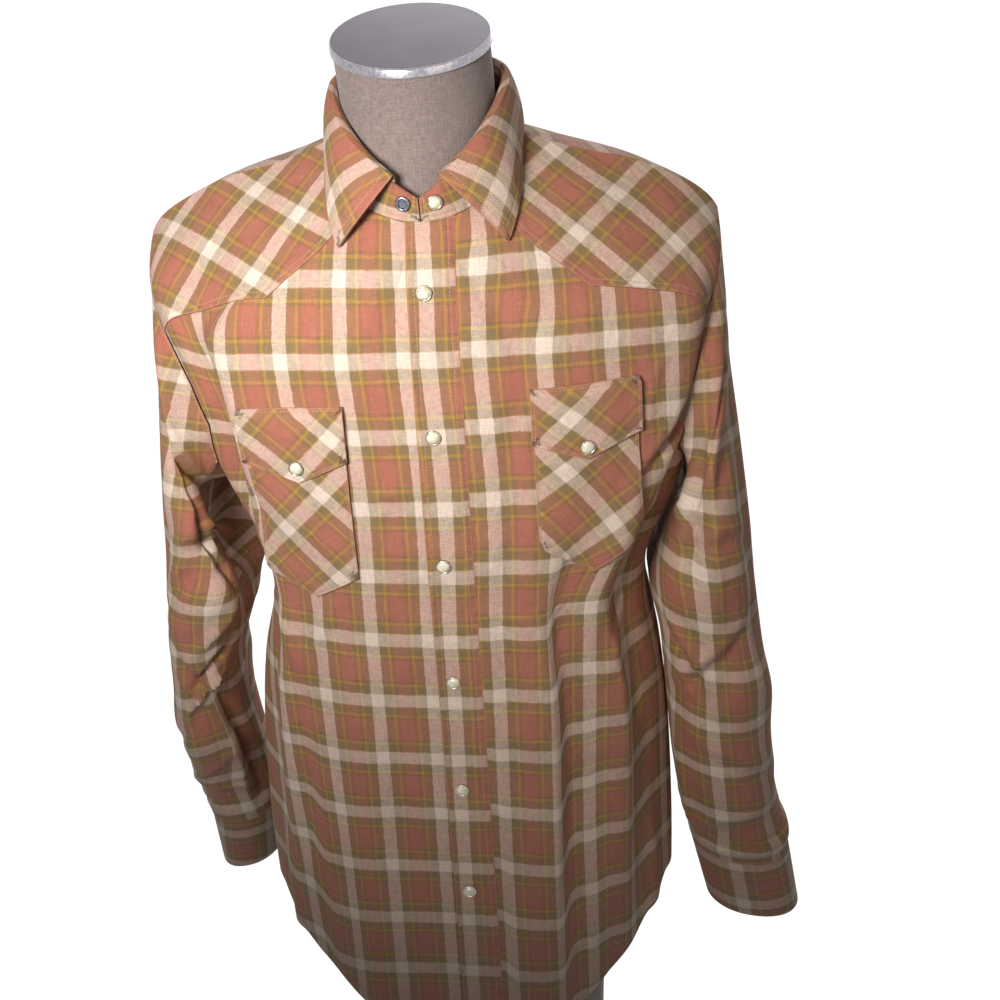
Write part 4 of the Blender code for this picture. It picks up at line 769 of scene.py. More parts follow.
# %% Back and back yoke
def back_seam():
    """Angles and rows of the back yoke seam, from the wearer's left armhole round."""
    start = armhole_angle(BACK_YOKE_ARMHOLE_ROW, "backward")
    across = between(0.0, 1.0, BACK_STEPS)
    angle = start + (360.0 - 2.0 * start) * across
    rise = 1.0 - np.abs(2.0 * across - 1.0)
    row = BACK_YOKE_ARMHOLE_ROW + (BACK_YOKE_POINT_ROW - BACK_YOKE_ARMHOLE_ROW) * rise**BACK_YOKE_SAG
    return angle, row


def back_grid():
    """Angles and rows of the back, from the yoke seam down to the hem."""
    seam_row = back_seam()[1]
    across = between(0.0, 1.0, BACK_STEPS)
    upper = between(0.0, 1.0, ARMHOLE_STEPS)
    hem = hem_row(wrapped(90.0 + 180.0 * across))
    row_upper = seam_row[:, None] + (UNDERARM_ROW - seam_row[:, None]) * upper
    share = between(0.0, 1.0, BODY_STEPS)
    row_lower = UNDERARM_ROW + (hem[:, None] - UNDERARM_ROW) * share
    row = np.concatenate([row_upper, row_lower[:, 1:]], axis=1)
    edge_row = BACK_YOKE_ARMHOLE_ROW + (UNDERARM_ROW - BACK_YOKE_ARMHOLE_ROW) * upper
    edge = armhole_angle(edge_row, "backward")
    edge = np.concatenate([edge, np.full(BODY_STEPS, 90.0)])
    return edge + (360.0 - 2.0 * edge) * across[:, None], row


def climbing(points):
    """Flat places of the back yoke: across it, and up the grid's columns."""
    step = np.linalg.norm(np.diff(points[..., 1:], axis=1), axis=-1)
    climb = np.concatenate([np.zeros((len(points), 1)), np.cumsum(step, axis=1)], axis=1)
    return np.stack([points[..., 0], points[:, :1, 2] + climb], axis=-1)


def back_yoke_grid():
    """Angles and rows of the back yoke, from its seam up to shoulders and neck."""
    seam_angle, seam_row = back_seam()
    steps = TURN_STEPS + YOKE_STEPS
    neck_steps = 8 * FINE
    top_row = joined(between(TIP_ROW, 0.0, steps), between(0.0, 0.0, neck_steps),
                     between(0.0, TIP_ROW, steps))
    top_angle = joined(between(90.0, 90.0, steps), between(90.0, 270.0, neck_steps),
                       between(270.0, 270.0, steps))
    across = np.arange(len(top_row)) / (len(top_row) - 1.0)
    bottom_angle = np.interp(across, between(0, 1, BACK_STEPS), seam_angle)
    bottom_row = np.interp(across, between(0, 1, BACK_STEPS), seam_row)
    share = between(0.0, 1.0, YOKE_DEPTH_STEPS)
    angle = bottom_angle[:, None] + (top_angle[:, None] - bottom_angle[:, None]) * share
    row = bottom_row[:, None] + (top_row[:, None] - bottom_row[:, None]) * share
    edge = armhole_angle(row[0], "backward")
    pull = np.abs(2.0 * across[:, None] - 1.0) ** 12
    near_left = across[:, None] < 0.5
    angle = angle + pull * np.where(near_left, edge - angle[0], (360.0 - edge) - angle[-1])
    return angle, row


angle, row = back_grid()
piece, outer, flat = body_panel("back", angle, row, ("first_row", "first_column", "last_column"),
                                ("last_row",), THREAD_IN["panel"], from_back=True)
settle(piece, "back", "flannel", flat, outer)

angle, row = back_yoke_grid()
make_yoke("yoke_back", angle, row, climbing)

# %% [markdown]
# ## Placket, pockets and flaps
#
# These lie on the fronts, so they are the same surface moved out.  The placket
# is one long strip under the snaps.  A pocket is a straight-sided pouch with a
# point at its foot; its flap is sewn down along the top and hangs free, so its
# lower edge stands a little off the pocket.

# %% Placket
PLACKET_STEPS = 12


def placket_grid():
    hem = float(hem_row(0.0))
    rows = joined(between(0.0, UNDERARM_ROW, 14 * 7), between(UNDERARM_ROW, hem, BODY_STEPS))
    across = between(PLACKET_LEFT_EDGE, PLACKET_RIGHT_EDGE, PLACKET_STEPS)
    row = np.repeat(rows[None], len(across), axis=0)
    return angle_at_x(across[:, None], row), row


angle, row = placket_grid()
across = between(0.0, 1.0, PLACKET_STEPS)
edge_lift = 0.0009 * (1.0 - smooth_step(0.0, 0.18, across)) - 0.0014 * smooth_step(0.86, 1.0, across)
piece, outer, flat = body_panel("placket", angle, row, (), ("first_column", "last_column"),
                                THREAD_IN["placket"],
                                lift=PLACKET_LIFT + CLOTH + edge_lift[:, None])
settle(piece, "placket", "flannel", flat, outer)

# %% Pockets and flaps
# In metres on the front: X of each side and drops, mirrored for the wearer's right.
POCKET_COLUMNS = ("inner", "outer", "flap_top", "flap_side", "flap_point",
                  "bottom_side", "bottom_point", "tilt")
POCKET_LEFT = (0.0700, 0.1430, 0.178, 0.218, 0.233, 0.298, 0.325, -0.003)
POCKET_RIGHT = (0.0640, 0.1355, 0.185, 0.226, 0.242, 0.322, 0.342, 0.002)
FLAP_OVERHANG = 0.0015
FLAP_SEWN_SHARE = 0.10         # the flap rises off its sewn top edge over this share of its height
POCKET_STEPS = (24, 44)        # across and down
FLAP_STEPS = (26, 22)
POCKET_MOUTH_DROP = 0.006      # the pocket's mouth lies under the flap's top edge
FLAP_SNAP_RISE = 0.011         # the snap stands this far above the flap's point


def front_place(x, drop):
    """Angle and row of a place on the front given by X and drop."""
    angle = np.degrees(np.arcsin(np.clip(x / RINGS["underarm"][0], -0.95, 0.95)))
    for _ in range(6):
        row = row_at_drop(angle, drop)
        angle = angle_at_x(x, row)
    return angle, row


def pocket_edges(side):
    return named(POCKET_COLUMNS, POCKET_LEFT if side > 0 else POCKET_RIGHT)


def pocket_grid(side, width_extra, top, side_drop, point_drop, columns, down):
    """X and drop over a pocket piece with straight sides and a pointed foot."""
    size = pocket_edges(side)
    across = between(size["inner"] - width_extra, size["outer"] + width_extra, columns)
    share = between(0.0, 1.0, columns)
    tilt = size["tilt"] * share
    foot = side_drop + (point_drop - side_drop) * (1.0 - np.abs(2.0 * share - 1.0)) + tilt
    head = top + tilt
    drop = head[:, None] + (foot - head)[:, None] * down
    x = np.repeat(across[:, None], len(down), axis=1)
    return side * x, drop


for side, label in SIDES:
    size = pocket_edges(side)
    x, drop = pocket_grid(side, 0.0, size["flap_top"] + POCKET_MOUTH_DROP, size["bottom_side"],
                          size["bottom_point"], POCKET_STEPS[0], between(0.0, 1.0, POCKET_STEPS[1]))
    angle, row = front_place(x, drop)
    piece, outer, flat = body_panel("pocket_" + label, angle, row, (),
                                    ("first_column", "last_column", "last_row"), THREAD_IN["pocket"],
                                    lift=OVERLAY_LIFT + CLOTH)
    settle(piece, "pocket_" + label, "flannel_bias", flat, outer)
    x, drop = pocket_grid(side, FLAP_OVERHANG, size["flap_top"], size["flap_side"],
                          size["flap_point"], FLAP_STEPS[0], between(0.0, 1.0, FLAP_STEPS[1]))
    angle, row = front_place(x, drop)
    sewn = PLACKET_LIFT + CLOTH
    rise = np.interp(between(0.0, 1.0, FLAP_STEPS[1]), (0.0, FLAP_SEWN_SHARE), (0.0, 1.0))
    piece, outer, flat = body_panel("flap_" + label, angle, row, (),
                                    ("first_column", "last_column", "last_row", "first_row"),
                                    THREAD_IN["flap"],
                                    lift=sewn + (2.0 * (OVERLAY_LIFT + CLOTH) - sewn) * rise)
    settle(piece, "flap_" + label, "flannel_bias", flat, outer)

# %% [markdown]
# ## Sleeves and cuffs
#
# A sleeve is a tube that starts on the armhole, hangs down the side and ends in
# a cuff.  Its sections are entered as ovals, and its creases as short slanted
# hollows and rolls.  The tube is left open along the underarm, where the real
# one is sewn, so that the plaid has one clean seam.  A sleeve's flat cloth is
# 0.90 to 1.30 times as long as the smooth tube, by factors set down the arm.

# %% Sleeve sizes
# Sections of the sleeve below the armhole, in the wearer's left side's sense:
# outer and inner edge in X with their drops, middle and half depth in Y.
SLEEVE_COLUMNS = ("outer", "drop_outer", "inner", "drop_inner", "middle", "half_depth", "squareness")
SLEEVE_LEFT = {
    "cap":       (0.213, 0.135, 0.183, 0.292, 0.008, 0.066, 2.2),
    "upper arm": (0.223, 0.230, 0.168, 0.325, 0.004, 0.070, 2.3),
    "biceps":    (0.234, 0.320, 0.157, 0.375, -0.002, 0.068, 2.4),
    "elbow":     (0.243, 0.410, 0.164, 0.430, -0.010, 0.064, 2.4),
    "forearm":   (0.253, 0.500, 0.169, 0.505, -0.014, 0.058, 2.4),
    "low arm":   (0.265, 0.590, 0.179, 0.583, -0.012, 0.050, 2.3),
    "cuff seam": (0.276, 0.645, 0.190, 0.633, -0.008, 0.040, 2.2),
}
SLEEVE_RIGHT = {
    "cap":       (0.213, 0.135, 0.183, 0.292, 0.008, 0.067, 2.2),
    "upper arm": (0.223, 0.230, 0.170, 0.325, 0.004, 0.072, 2.3),
    "biceps":    (0.233, 0.320, 0.162, 0.375, 0.002, 0.068, 2.4),
    "elbow":     (0.243, 0.420, 0.186, 0.430, 0.000, 0.060, 2.4),
    "forearm":   (0.249, 0.520, 0.190, 0.490, 0.014, 0.052, 2.4),
    "low arm":   (0.257, 0.590, 0.190, 0.565, 0.042, 0.046, 2.3),
    "cuff seam": (0.254, 0.645, 0.189, 0.632, 0.060, 0.040, 2.2),
}
CUFF_LEFT_FOOT = (0.286, 0.705, 0.204, 0.692, -0.010, 0.036, 2.2)
CUFF_RIGHT_FOOT = (0.255, 0.706, 0.195, 0.694, 0.072, 0.038, 2.2)
# Creases across the sleeves: distance down, place round, slant, width, height.
SLEEVE_FOLD_COLUMNS = ("along", "around", "slant", "reach", "width", "height")
SLEEVE_FOLDS_LEFT = {
    "head break":    (0.30, 70, 0.10, 60, 0.050, -0.005),
    "armpit drag":   (0.42, 110, -0.12, 60, 0.060, 0.006),
    "elbow front":   (0.60, 90, 0.10, 60, 0.045, -0.005),
    "elbow outer":   (0.66, 20, -0.08, 50, 0.050, 0.005),
    "wrist break":   (0.88, 80, 0.06, 80, 0.040, -0.004),
    "wrist roll":    (0.95, 60, 0.03, 90, 0.035, 0.005),
    "elbow back":    (0.62, 270, 0.10, 60, 0.050, -0.006),
    "armpit back":   (0.36, 240, -0.10, 60, 0.055, 0.006),
}
SLEEVE_FOLDS_RIGHT = {
    "head break":    (0.24, 75, 0.10, 60, 0.045, -0.005),
    "armpit drag":   (0.40, 120, -0.16, 60, 0.060, 0.008),
    "drag hollow":   (0.34, 100, -0.12, 60, 0.045, -0.006),
    "elbow front":   (0.64, 100, 0.12, 60, 0.050, -0.008),
    "elbow outer":   (0.74, 10, -0.06, 60, 0.040, -0.003),
    "elbow roll":    (0.70, 40, 0.10, 60, 0.045, 0.006),
    "wrist break":   (0.90, 80, 0.06, 80, 0.040, -0.004),
    "elbow back":    (0.68, 260, 0.10, 60, 0.050, 0.006),
    "armpit back":   (0.36, 240, -0.10, 60, 0.055, 0.006),
}
# Finer creases, in the same columns.
SLEEVE_CREASES_LEFT = {
    "cap pinch":       (0.20, 60, 0.06, 40, 0.016, -0.0030),
    "armpit pleat":    (0.27, 120, -0.16, 46, 0.016, 0.0040),
    "upper drag":      (0.36, 84, -0.10, 40, 0.014, 0.0028),
    "upper drag foot": (0.39, 78, -0.10, 42, 0.014, -0.0026),
    "elbow pinch":     (0.56, 100, 0.08, 44, 0.014, 0.0032),
    "elbow hollow":    (0.585, 100, 0.08, 44, 0.014, -0.0032),
    "forearm crease":  (0.73, 76, -0.07, 50, 0.014, 0.0028),
    "forearm hollow":  (0.76, 70, -0.07, 44, 0.013, -0.0024),
    "wrist crease":    (0.85, 100, 0.05, 60, 0.013, 0.0030),
    "wrist pleat":     (0.915, 46, 0.03, 54, 0.012, -0.0028),
    "back crease":     (0.50, 262, 0.09, 50, 0.015, 0.0034),
    "back hollow":     (0.70, 280, -0.08, 50, 0.015, -0.0032),
    "back wrist":      (0.90, 250, 0.05, 60, 0.013, 0.0028),
}
SLEEVE_CREASES_RIGHT = {
    "pouch":           (0.130, 106, -0.16, 26, 0.022, 0.0034),
    "pouch shadow":    (0.160, 112, -0.16, 26, 0.013, -0.0060),
    "cap pinch":       (0.19, 58, 0.07, 40, 0.015, -0.0032),
    "armpit pleat":    (0.29, 112, -0.18, 46, 0.015, 0.0044),
    "second pleat":    (0.37, 96, -0.16, 44, 0.014, 0.0036),
    "pleat hollow":    (0.41, 92, -0.15, 44, 0.015, -0.0036),
    "elbow pinch":     (0.60, 92, 0.12, 44, 0.014, -0.0040),
    "elbow lip":       (0.63, 86, 0.12, 44, 0.014, 0.0034),
    "outer elbow":     (0.72, 16, -0.06, 40, 0.014, -0.0034),
    "forearm crease":  (0.80, 80, -0.06, 50, 0.014, 0.0028),
    "wrist crease":    (0.87, 96, 0.05, 60, 0.013, 0.0030),
    "wrist pleat":     (0.93, 52, 0.03, 54, 0.012, -0.0026),
    "back crease":     (0.48, 258, 0.10, 50, 0.015, 0.0034),
    "back hollow":     (0.66, 284, -0.08, 50, 0.015, -0.0034),
    "back wrist":      (0.88, 246, 0.05, 60, 0.013, 0.0028),
}
# Folds that run down the sleeves, in the body's fold columns but with the place
# round the sleeve for the angle and the share of its length for the drop.
SLEEVE_DRAGS_LEFT = {
    "armpit roll":     (140, 0.10, 118, 0.34, 0, 0.030, 0.026, 0.002, 0.006, 0.001),
    "front valley":    (112, 0.12, 98, 0.46, 4, 0.024, 0.026, -0.001, -0.005, -0.001),
    "front ridge":     (84, 0.16, 92, 0.60, -4, 0.026, 0.030, 0.001, 0.004, 0.001),
    "inner drag":      (138, 0.46, 96, 0.60, 0, 0.024, 0.022, 0.001, 0.005, 0.001),
    "inner hollow":    (142, 0.50, 100, 0.66, 0, 0.022, 0.022, -0.001, -0.006, -0.001),
    "forearm edge":    (150, 0.66, 140, 0.96, 0, 0.020, 0.026, 0.001, 0.004, 0.001),
    "outer fall":      (34, 0.20, 30, 0.62, 0, 0.030, 0.030, 0.000, -0.003, 0.000),
    "back fall":       (262, 0.22, 276, 0.58, 0, 0.030, 0.030, 0.001, -0.005, -0.001),
}
SLEEVE_DRAGS_RIGHT = {
    "underarm hollow": (178, 0.10, 172, 0.48, 0, 0.100, 0.110, -0.008, -0.032, -0.004),
    "inner roll":      (122, 0.14, 150, 0.40, 0, 0.022, 0.024, 0.001, 0.006, 0.002),
    "inner valley":    (104, 0.17, 132, 0.42, 0, 0.018, 0.016, -0.001, -0.006, -0.002),
    "first drag":      (112, 0.20, 62, 0.40, 8, 0.020, 0.024, 0.001, 0.005, 0.001),
    "drag hollow":     (116, 0.25, 64, 0.46, 8, 0.018, 0.020, -0.001, -0.006, -0.001),
    "second drag":     (140, 0.38, 84, 0.56, 4, 0.022, 0.020, 0.001, 0.006, 0.001),
    "elbow hollow":    (146, 0.50, 84, 0.62, 4, 0.020, 0.022, -0.002, -0.008, -0.002),
    "elbow roll":      (140, 0.58, 70, 0.66, 0, 0.022, 0.020, 0.001, 0.007, 0.002),
    "forearm inset":   (134, 0.60, 142, 0.92, 4, 0.026, 0.034, -0.002, -0.009, -0.004),
    "forearm edge":    (112, 0.64, 118, 0.92, 4, 0.024, 0.018, 0.001, 0.004, 0.002),
    "outer fall":      (30, 0.16, 36, 0.52, 0, 0.030, 0.030, 0.000, -0.004, 0.000),
    "back fall":       (264, 0.22, 280, 0.58, 0, 0.030, 0.030, 0.001, -0.005, -0.001),
}
SLEEVES = {1: (SLEEVE_LEFT, CUFF_LEFT_FOOT), -1: (SLEEVE_RIGHT, CUFF_RIGHT_FOOT)}
SLEEVE_TABLES = {1: (SLEEVE_FOLDS_LEFT, SLEEVE_CREASES_LEFT, SLEEVE_DRAGS_LEFT),
                 -1: (SLEEVE_FOLDS_RIGHT, SLEEVE_CREASES_RIGHT, SLEEVE_DRAGS_RIGHT)}
CUFF_LAP = 1.10                # turns of the cuff band, so its end laps over its start
CUFF_LAP_GAP = 0.0006          # clearance between the lapped ends
CUFF_START = 0.64              # turn where the band starts, at the back of the wrist
CUFF_LAP_RISE = (0.93, 0.99)   # turns from the start over which the end climbs onto it
CUFF_COLUMNS, CUFF_ROWS = 105, 22
CUFF_SEAM_SHARE = 0.012        # the band starts this share of its height below the sleeve
CUFF_OUTER_LINE = 38           # the column that the plaid's places are measured from

# %% Sleeves
SLEEVE_COLUMNS_COUNT = 90
SLEEVE_ROW_COUNT = 176
ARMHOLE_EASE = 0.15            # spreads the sleeve's columns evenly round the armhole
SLEEVE_SEAM_RISE = 0.0005      # the sleeve head stands this far off the armhole's edge
SLEEVE_TURNS = 0.5 + np.linspace(0.0, 1.0, SLEEVE_COLUMNS_COUNT + 1)   # from the underarm round


def armhole_loop(side, turn):
    """The armhole from the shoulder tip down its front edge and up its back edge."""
    turn = turn % 1.0
    front_half = turn <= 0.5
    depth = np.where(front_half, turn * 2.0, (1.0 - turn) * 2.0)
    eased = [smooth_step(-ARMHOLE_EASE, 1.0 + ARMHOLE_EASE, place) for place in (depth, 0.0, 1.0)]
    row = TIP_ROW + (UNDERARM_ROW - TIP_ROW) * (eased[0] - eased[1]) / (eased[2] - eased[1])
    angle = np.where(front_half, armhole_angle(row, "forward"), armhole_angle(row, "backward"))
    return side * angle, row


def section_ring(values, side, turns):
    """One ring of a sleeve: turn 0 is the outer edge, a quarter is the front."""
    part = named(SLEEVE_COLUMNS, values)
    cosine, sine = np.cos(2.0 * np.pi * turns), np.sin(2.0 * np.pi * turns)
    power = 2.0 / part["squareness"]
    share = 0.5 + 0.5 * np.sign(cosine) * np.abs(cosine) ** power
    x = part["inner"] + (part["outer"] - part["inner"]) * share
    drop = part["drop_inner"] + (part["drop_outer"] - part["drop_inner"]) * share
    y = part["middle"] - part["half_depth"] * np.sign(sine) * np.abs(sine) ** power
    return np.stack([side * x, y, NECK_POINT_HEIGHT - drop], axis=-1)


def grid_normals(points):
    """Outward normals of a tube's grid, columns round it and rows down it."""
    if np.allclose(points[0], points[-1], atol=1e-6):
        ring = points[:-1]
        around = np.roll(ring, -1, axis=0) - np.roll(ring, 1, axis=0)
        around = np.concatenate([around, around[:1]])
    else:
        around = np.gradient(points, axis=0)
    down = np.gradient(points, axis=1)
    normal = np.cross(around, down)
    normal = normal / np.linalg.norm(normal, axis=-1, keepdims=True)
    last = points[:, -1]
    if np.sum(normal[:, -1] * (last - last.mean(axis=0))) < 0.0:
        normal = -normal
    return normal


def clear_of_side(points, side):
    """Move a sleeve's points out sideways where they would press into the body."""
    angle = side * np.linspace(25.0, 155.0, 66)
    surface = body(angle[:, None], np.linspace(UNDERARM_ROW, len(RINGS) - 1.0, 80))
    levels = np.linspace(surface[:, -1, 2].max(), surface[:, 0, 2].min(), 90)
    depths = np.linspace(-0.11, 0.13, 61)
    reach = np.zeros((len(levels), len(depths)))
    for k, level in enumerate(levels):
        x, y = [[np.interp(level, line[::-1, 2], line[::-1, axis]) for line in surface]
                for axis in (0, 1)]
        reach[k] = np.interp(depths, y, np.abs(x))
    at_level = (points[..., 2] - levels[0]) / (levels[1] - levels[0])
    at_depth = (points[..., 1] - depths[0]) / (depths[1] - depths[0])
    level = np.clip(at_level.astype(int), 0, len(levels) - 2)
    depth = np.clip(at_depth.astype(int), 0, len(depths) - 2)
    a, b = np.clip(at_level - level, 0.0, 1.0), np.clip(at_depth - depth, 0.0, 1.0)
    nearest = ((1 - a) * ((1 - b) * reach[level, depth] + b * reach[level, depth + 1])
               + a * ((1 - b) * reach[level + 1, depth] + b * reach[level + 1, depth + 1]))
    pressed = nearest + SLEEVE_CLEARANCE - np.abs(points[..., 0])
    below = (at_level < len(levels) - 1) & (pressed > 0.0)
    moved = points.copy()
    moved[..., 0] += np.where(below, side * pressed, 0.0)
    return moved


def sleeve_grid(side, rows):
    """Outer points of a sleeve from its armhole to the cuff seam."""
    sections, foot = SLEEVES[side]
    angle, row = armhole_loop(side, SLEEVE_TURNS)
    seam = body(angle, row) + SLEEVE_SEAM_RISE * surface_normal(body_base, angle, row)
    rings = [section_ring(values, side, SLEEVE_TURNS) for values in sections.values()]
    away = rings[0] - seam
    start = seam + SLEEVE_SEAM_RISE * away / np.linalg.norm(away, axis=-1, keepdims=True)
    chain = [start] + rings + [section_ring(foot, side, SLEEVE_TURNS)]
    return np.swapaxes(smooth_rows(np.array(chain), np.asarray(rows)), 0, 1)


def sleeve_folds(tables, rows_share):
    around = 360.0 * SLEEVE_TURNS[:, None]
    total = np.zeros((len(SLEEVE_TURNS), len(rows_share)))
    for values in [row for table in tables for row in table.values()]:
        fold = dict(zip(SLEEVE_FOLD_COLUMNS, values))
        aside = wrapped(around - fold["around"])
        line = fold["along"] + fold["slant"] * aside / 90.0
        total += fold["height"] * np.exp(-(aside / fold["reach"]) ** 2
                                         - ((rows_share - line) / fold["width"]) ** 2)
    return total


def tube_cloth(points, middle):
    """Flat places of a tube: round it from a middle column, and up from its foot."""
    around = np.linalg.norm(np.diff(points, axis=0), axis=-1)
    weft = np.concatenate([np.zeros((1, points.shape[1])), np.cumsum(around, axis=0)])
    weft = weft - weft[middle]
    down = np.linalg.norm(np.diff(points, axis=1), axis=-1).mean(axis=0)
    warp = np.concatenate([[0.0], np.cumsum(down)])
    return np.stack([weft, np.repeat(warp[None] - warp[-1], len(points), axis=0)], axis=-1)


def sleeve_cloth(points, share, slack, drift):
    """Flat places of a sleeve: across it from the outer line, and up from the cuff seam."""
    slack, drift = [np.interp(share, SLACK_PLACES, table) for table in (slack, drift)]
    centres = points[:-1].mean(axis=0)
    axis = np.gradient(centres, axis=0)
    axis = axis / np.linalg.norm(axis, axis=-1, keepdims=True)
    step = np.diff(points, axis=0)
    level = step - np.sum(step * axis, axis=-1, keepdims=True) * axis
    weft = np.concatenate([np.zeros((1, points.shape[1])),
                           np.cumsum(np.linalg.norm(level, axis=-1), axis=0)])
    weft = weft - weft[len(points) // 2] - drift
    down = np.linalg.norm(np.diff(points, axis=1), axis=-1) * slack[1:]
    warp = np.concatenate([np.zeros((len(points), 1)), np.cumsum(down, axis=1)], axis=1)
    warp = warp - warp[:, -1:]
    k = int(np.searchsorted(share, SLEEVE_HEAD_SHARE[1]))
    along = axis[k]
    outward = points[len(points) // 2, k] - centres[k]
    outward = outward - (outward @ along) * along
    outward = outward / np.linalg.norm(outward)
    sideways = np.cross(along, outward)
    away = points - centres[k] + SLEEVE_HEAD_SHIFT * outward
    turn = np.unwrap(np.arctan2(away @ sideways, away @ outward), axis=0)
    turn = turn - 2.0 * np.pi * np.round(turn[len(points) // 2] / (2.0 * np.pi))
    if turn[len(points) // 4, k] > turn[3 * len(points) // 4, k]:
        turn = -turn
    order = np.argsort(turn[:, k])
    head_weft = np.interp(turn, turn[order, k], weft[order, k])
    drawn = (away @ along) * slack[k]
    head_warp = drawn + np.mean(warp[:, k] - drawn[:, k])
    low = smooth_step(*SLEEVE_HEAD_SHARE, share)
    return np.stack([head_weft + (weft - head_weft) * low,
                     head_warp + (warp - head_warp) * low], axis=-1)


# Flat cloth for each length of the smooth tube, at places down the sleeves.
SLACK_PLACES = (0.0, 0.30, 0.45, 0.56, 0.70, 0.85, 1.0)
SLEEVE_SLACK = {1: (1.19, 1.22, 1.22, 1.18, 1.20, 1.12, 1.02),
                -1: (1.22, 1.30, 1.26, 0.98, 1.00, 1.00, 0.90)}
# How far the cloth has turned round the arm at the same places, in metres.
SLEEVE_DRIFT = {1: (0.000, 0.000, 0.001, 0.001, -0.001, -0.007, -0.012),
                -1: (0.000, 0.000, -0.006, -0.008, -0.009, -0.014, -0.014)}
SLEEVE_HEAD_SHARE = (0.28, 0.44)     # above this the sleeve unrolls about one straight line
SLEEVE_HEAD_SHIFT = 0.015            # which stands nearer the body than the sleeve's middle
for side, label in SIDES:
    sections = len(SLEEVE_LEFT)
    rows = np.linspace(0.0, float(sections), SLEEVE_ROW_COUNT + 1)
    share = rows / sections
    smooth_tube = sleeve_grid(side, rows)
    *tables, drags = SLEEVE_TABLES[side]
    fade = smooth_step(0.0, 0.12, share) * (1.0 - smooth_step(0.95, 1.0, share))
    normal = grid_normals(smooth_tube)
    down_folds = fold_sum(drags, *np.broadcast_arrays(360.0 * SLEEVE_TURNS[:, None], share))
    outer = smooth_tube + normal * ((sleeve_folds(tables, share) + down_folds) * fade)[..., None]
    outer = clear_of_side(outer, side)
    flat = sleeve_cloth(smooth_tube, share, SLEEVE_SLACK[side], SLEEVE_DRIFT[side])
    seam = seam_places(outer, ("first_row", "last_row"))
    piece = cloth_wall("sleeve_" + label, outer, outer - CLOTH * normal, flat, seam, THREAD_IN["sleeve"])
    settle(piece, "sleeve_" + label, "flannel", flat, outer)

# %% Cuffs
def cuff_turn(side, turns, rows):
    """Rings of a cuff at any number of turns, each point a row down the sleeve."""
    sections, foot = SLEEVES[side]
    top = section_ring(list(sections.values())[-1], side, turns)
    bottom = section_ring(foot, side, turns)
    share = np.asarray(rows)[None, :, None]
    return top[:, None] + (bottom - top)[:, None] * share


for side, label in SIDES:
    turns = CUFF_START + CUFF_LAP * np.linspace(0.0, 1.0, CUFF_COLUMNS)
    rows = np.linspace(CUFF_SEAM_SHARE, 1.0, CUFF_ROWS)
    points = cuff_turn(side, turns, rows)
    normal = grid_normals(points)
    lap = smooth_step(*[CUFF_START + turn for turn in CUFF_LAP_RISE], turns)[:, None, None]
    outer = points + normal * (CLOTH + CUFF_LAP_GAP) * lap
    flat = tube_cloth(outer, CUFF_OUTER_LINE)
    seam = seam_places(outer, ("first_row", "last_row", "last_column"))
    piece = cloth_wall("cuff_" + label, outer, outer - CLOTH * normal, flat, seam, THREAD_IN["cuff"])
    settle(piece, "cuff_" + label, "flannel", flat, outer)

# %% [markdown]
# ## Collar
#
# The stand is a short band on the neck seam.  The fall is sewn to its top edge,
# rises to a fold and turns down to two long points.  Both have two plies and an
# interlining, so their wall is thicker than the body's cloth.

# %% Collar sizes
# From a front end (0) to centre back (1): the fold line's place, and the angle,
# ring row and lift of the outer edge, which lies on the shirt.
COLLAR_COLUMNS = ("fold_x", "fold_y", "fold_drop", "edge_angle", "edge_row", "edge_lift", "bulge")
COLLAR = (
    (0.0160, -0.0780, 0.0310, 34.0, 0.92, 0.0045, 0.001),
    (0.0440, -0.0610, 0.0090, 52.0, 0.55, 0.0045, 0.003),
    (0.0610, -0.0250, -0.0140, 76.0, 0.20, 0.0050, 0.002),
    (0.0620, 0.0080, -0.0230, 100.0, 0.18, 0.0050, 0.002),
    (0.0440, 0.0420, -0.0280, 135.0, 0.26, 0.0050, 0.003),
    (0.0000, 0.0560, -0.0300, 180.0, 0.30, 0.0050, 0.004),
)
FOLD_PLACES = (-1.0, -0.12, -0.06, 0.0)   # seam, inner shoulder, crest and outer shoulder
FOLD_SHOULDER = 0.0010         # the fold's roundness
FALL_SEAT_RISE = 0.0005        # the fall's inner ply starts this far over the stand
STAND_END_ANGLE = 0.4          # half the gap between the stand's ends at the front
STAND_NOTCH, STAND_NOTCH_ANGLE = 0.36, 17.0    # share of height cut away at each end, and its reach
STAND_SEAM_RISE = 0.0003       # the stand's foot over the neck seam
COLLAR_SHIFT = -0.0015         # the collar sits a little to the wearer's right
STAND_TOP = (0.0592, -0.0750, -0.004, 0.0510, 0.038, -0.015, -0.021, 2.0, COLLAR_SHIFT)

# %% Collar stand and fall
COLLAR_COLUMNS_COUNT = 160
COLLAR_EASE = 1.033            # cloth length taken up round the turn of the collar
COLLAR_CURVE = 1.0             # the fall is cut on a circle of this radius


def collar_place(u):
    """Table values at places from one front end (-1) round to the other (1)."""
    return named(COLLAR_COLUMNS, smooth_rows(COLLAR, (1.0 - np.abs(u)) * (len(COLLAR) - 1)))


def fold_line(u):
    """The collar's fold at places round the neck."""
    place = collar_place(u)
    x = np.where(u < 0.0, -1.0, 1.0) * place["fold_x"] + COLLAR_SHIFT
    return np.stack([x, place["fold_y"], NECK_POINT_HEIGHT - place["fold_drop"]], axis=-1)


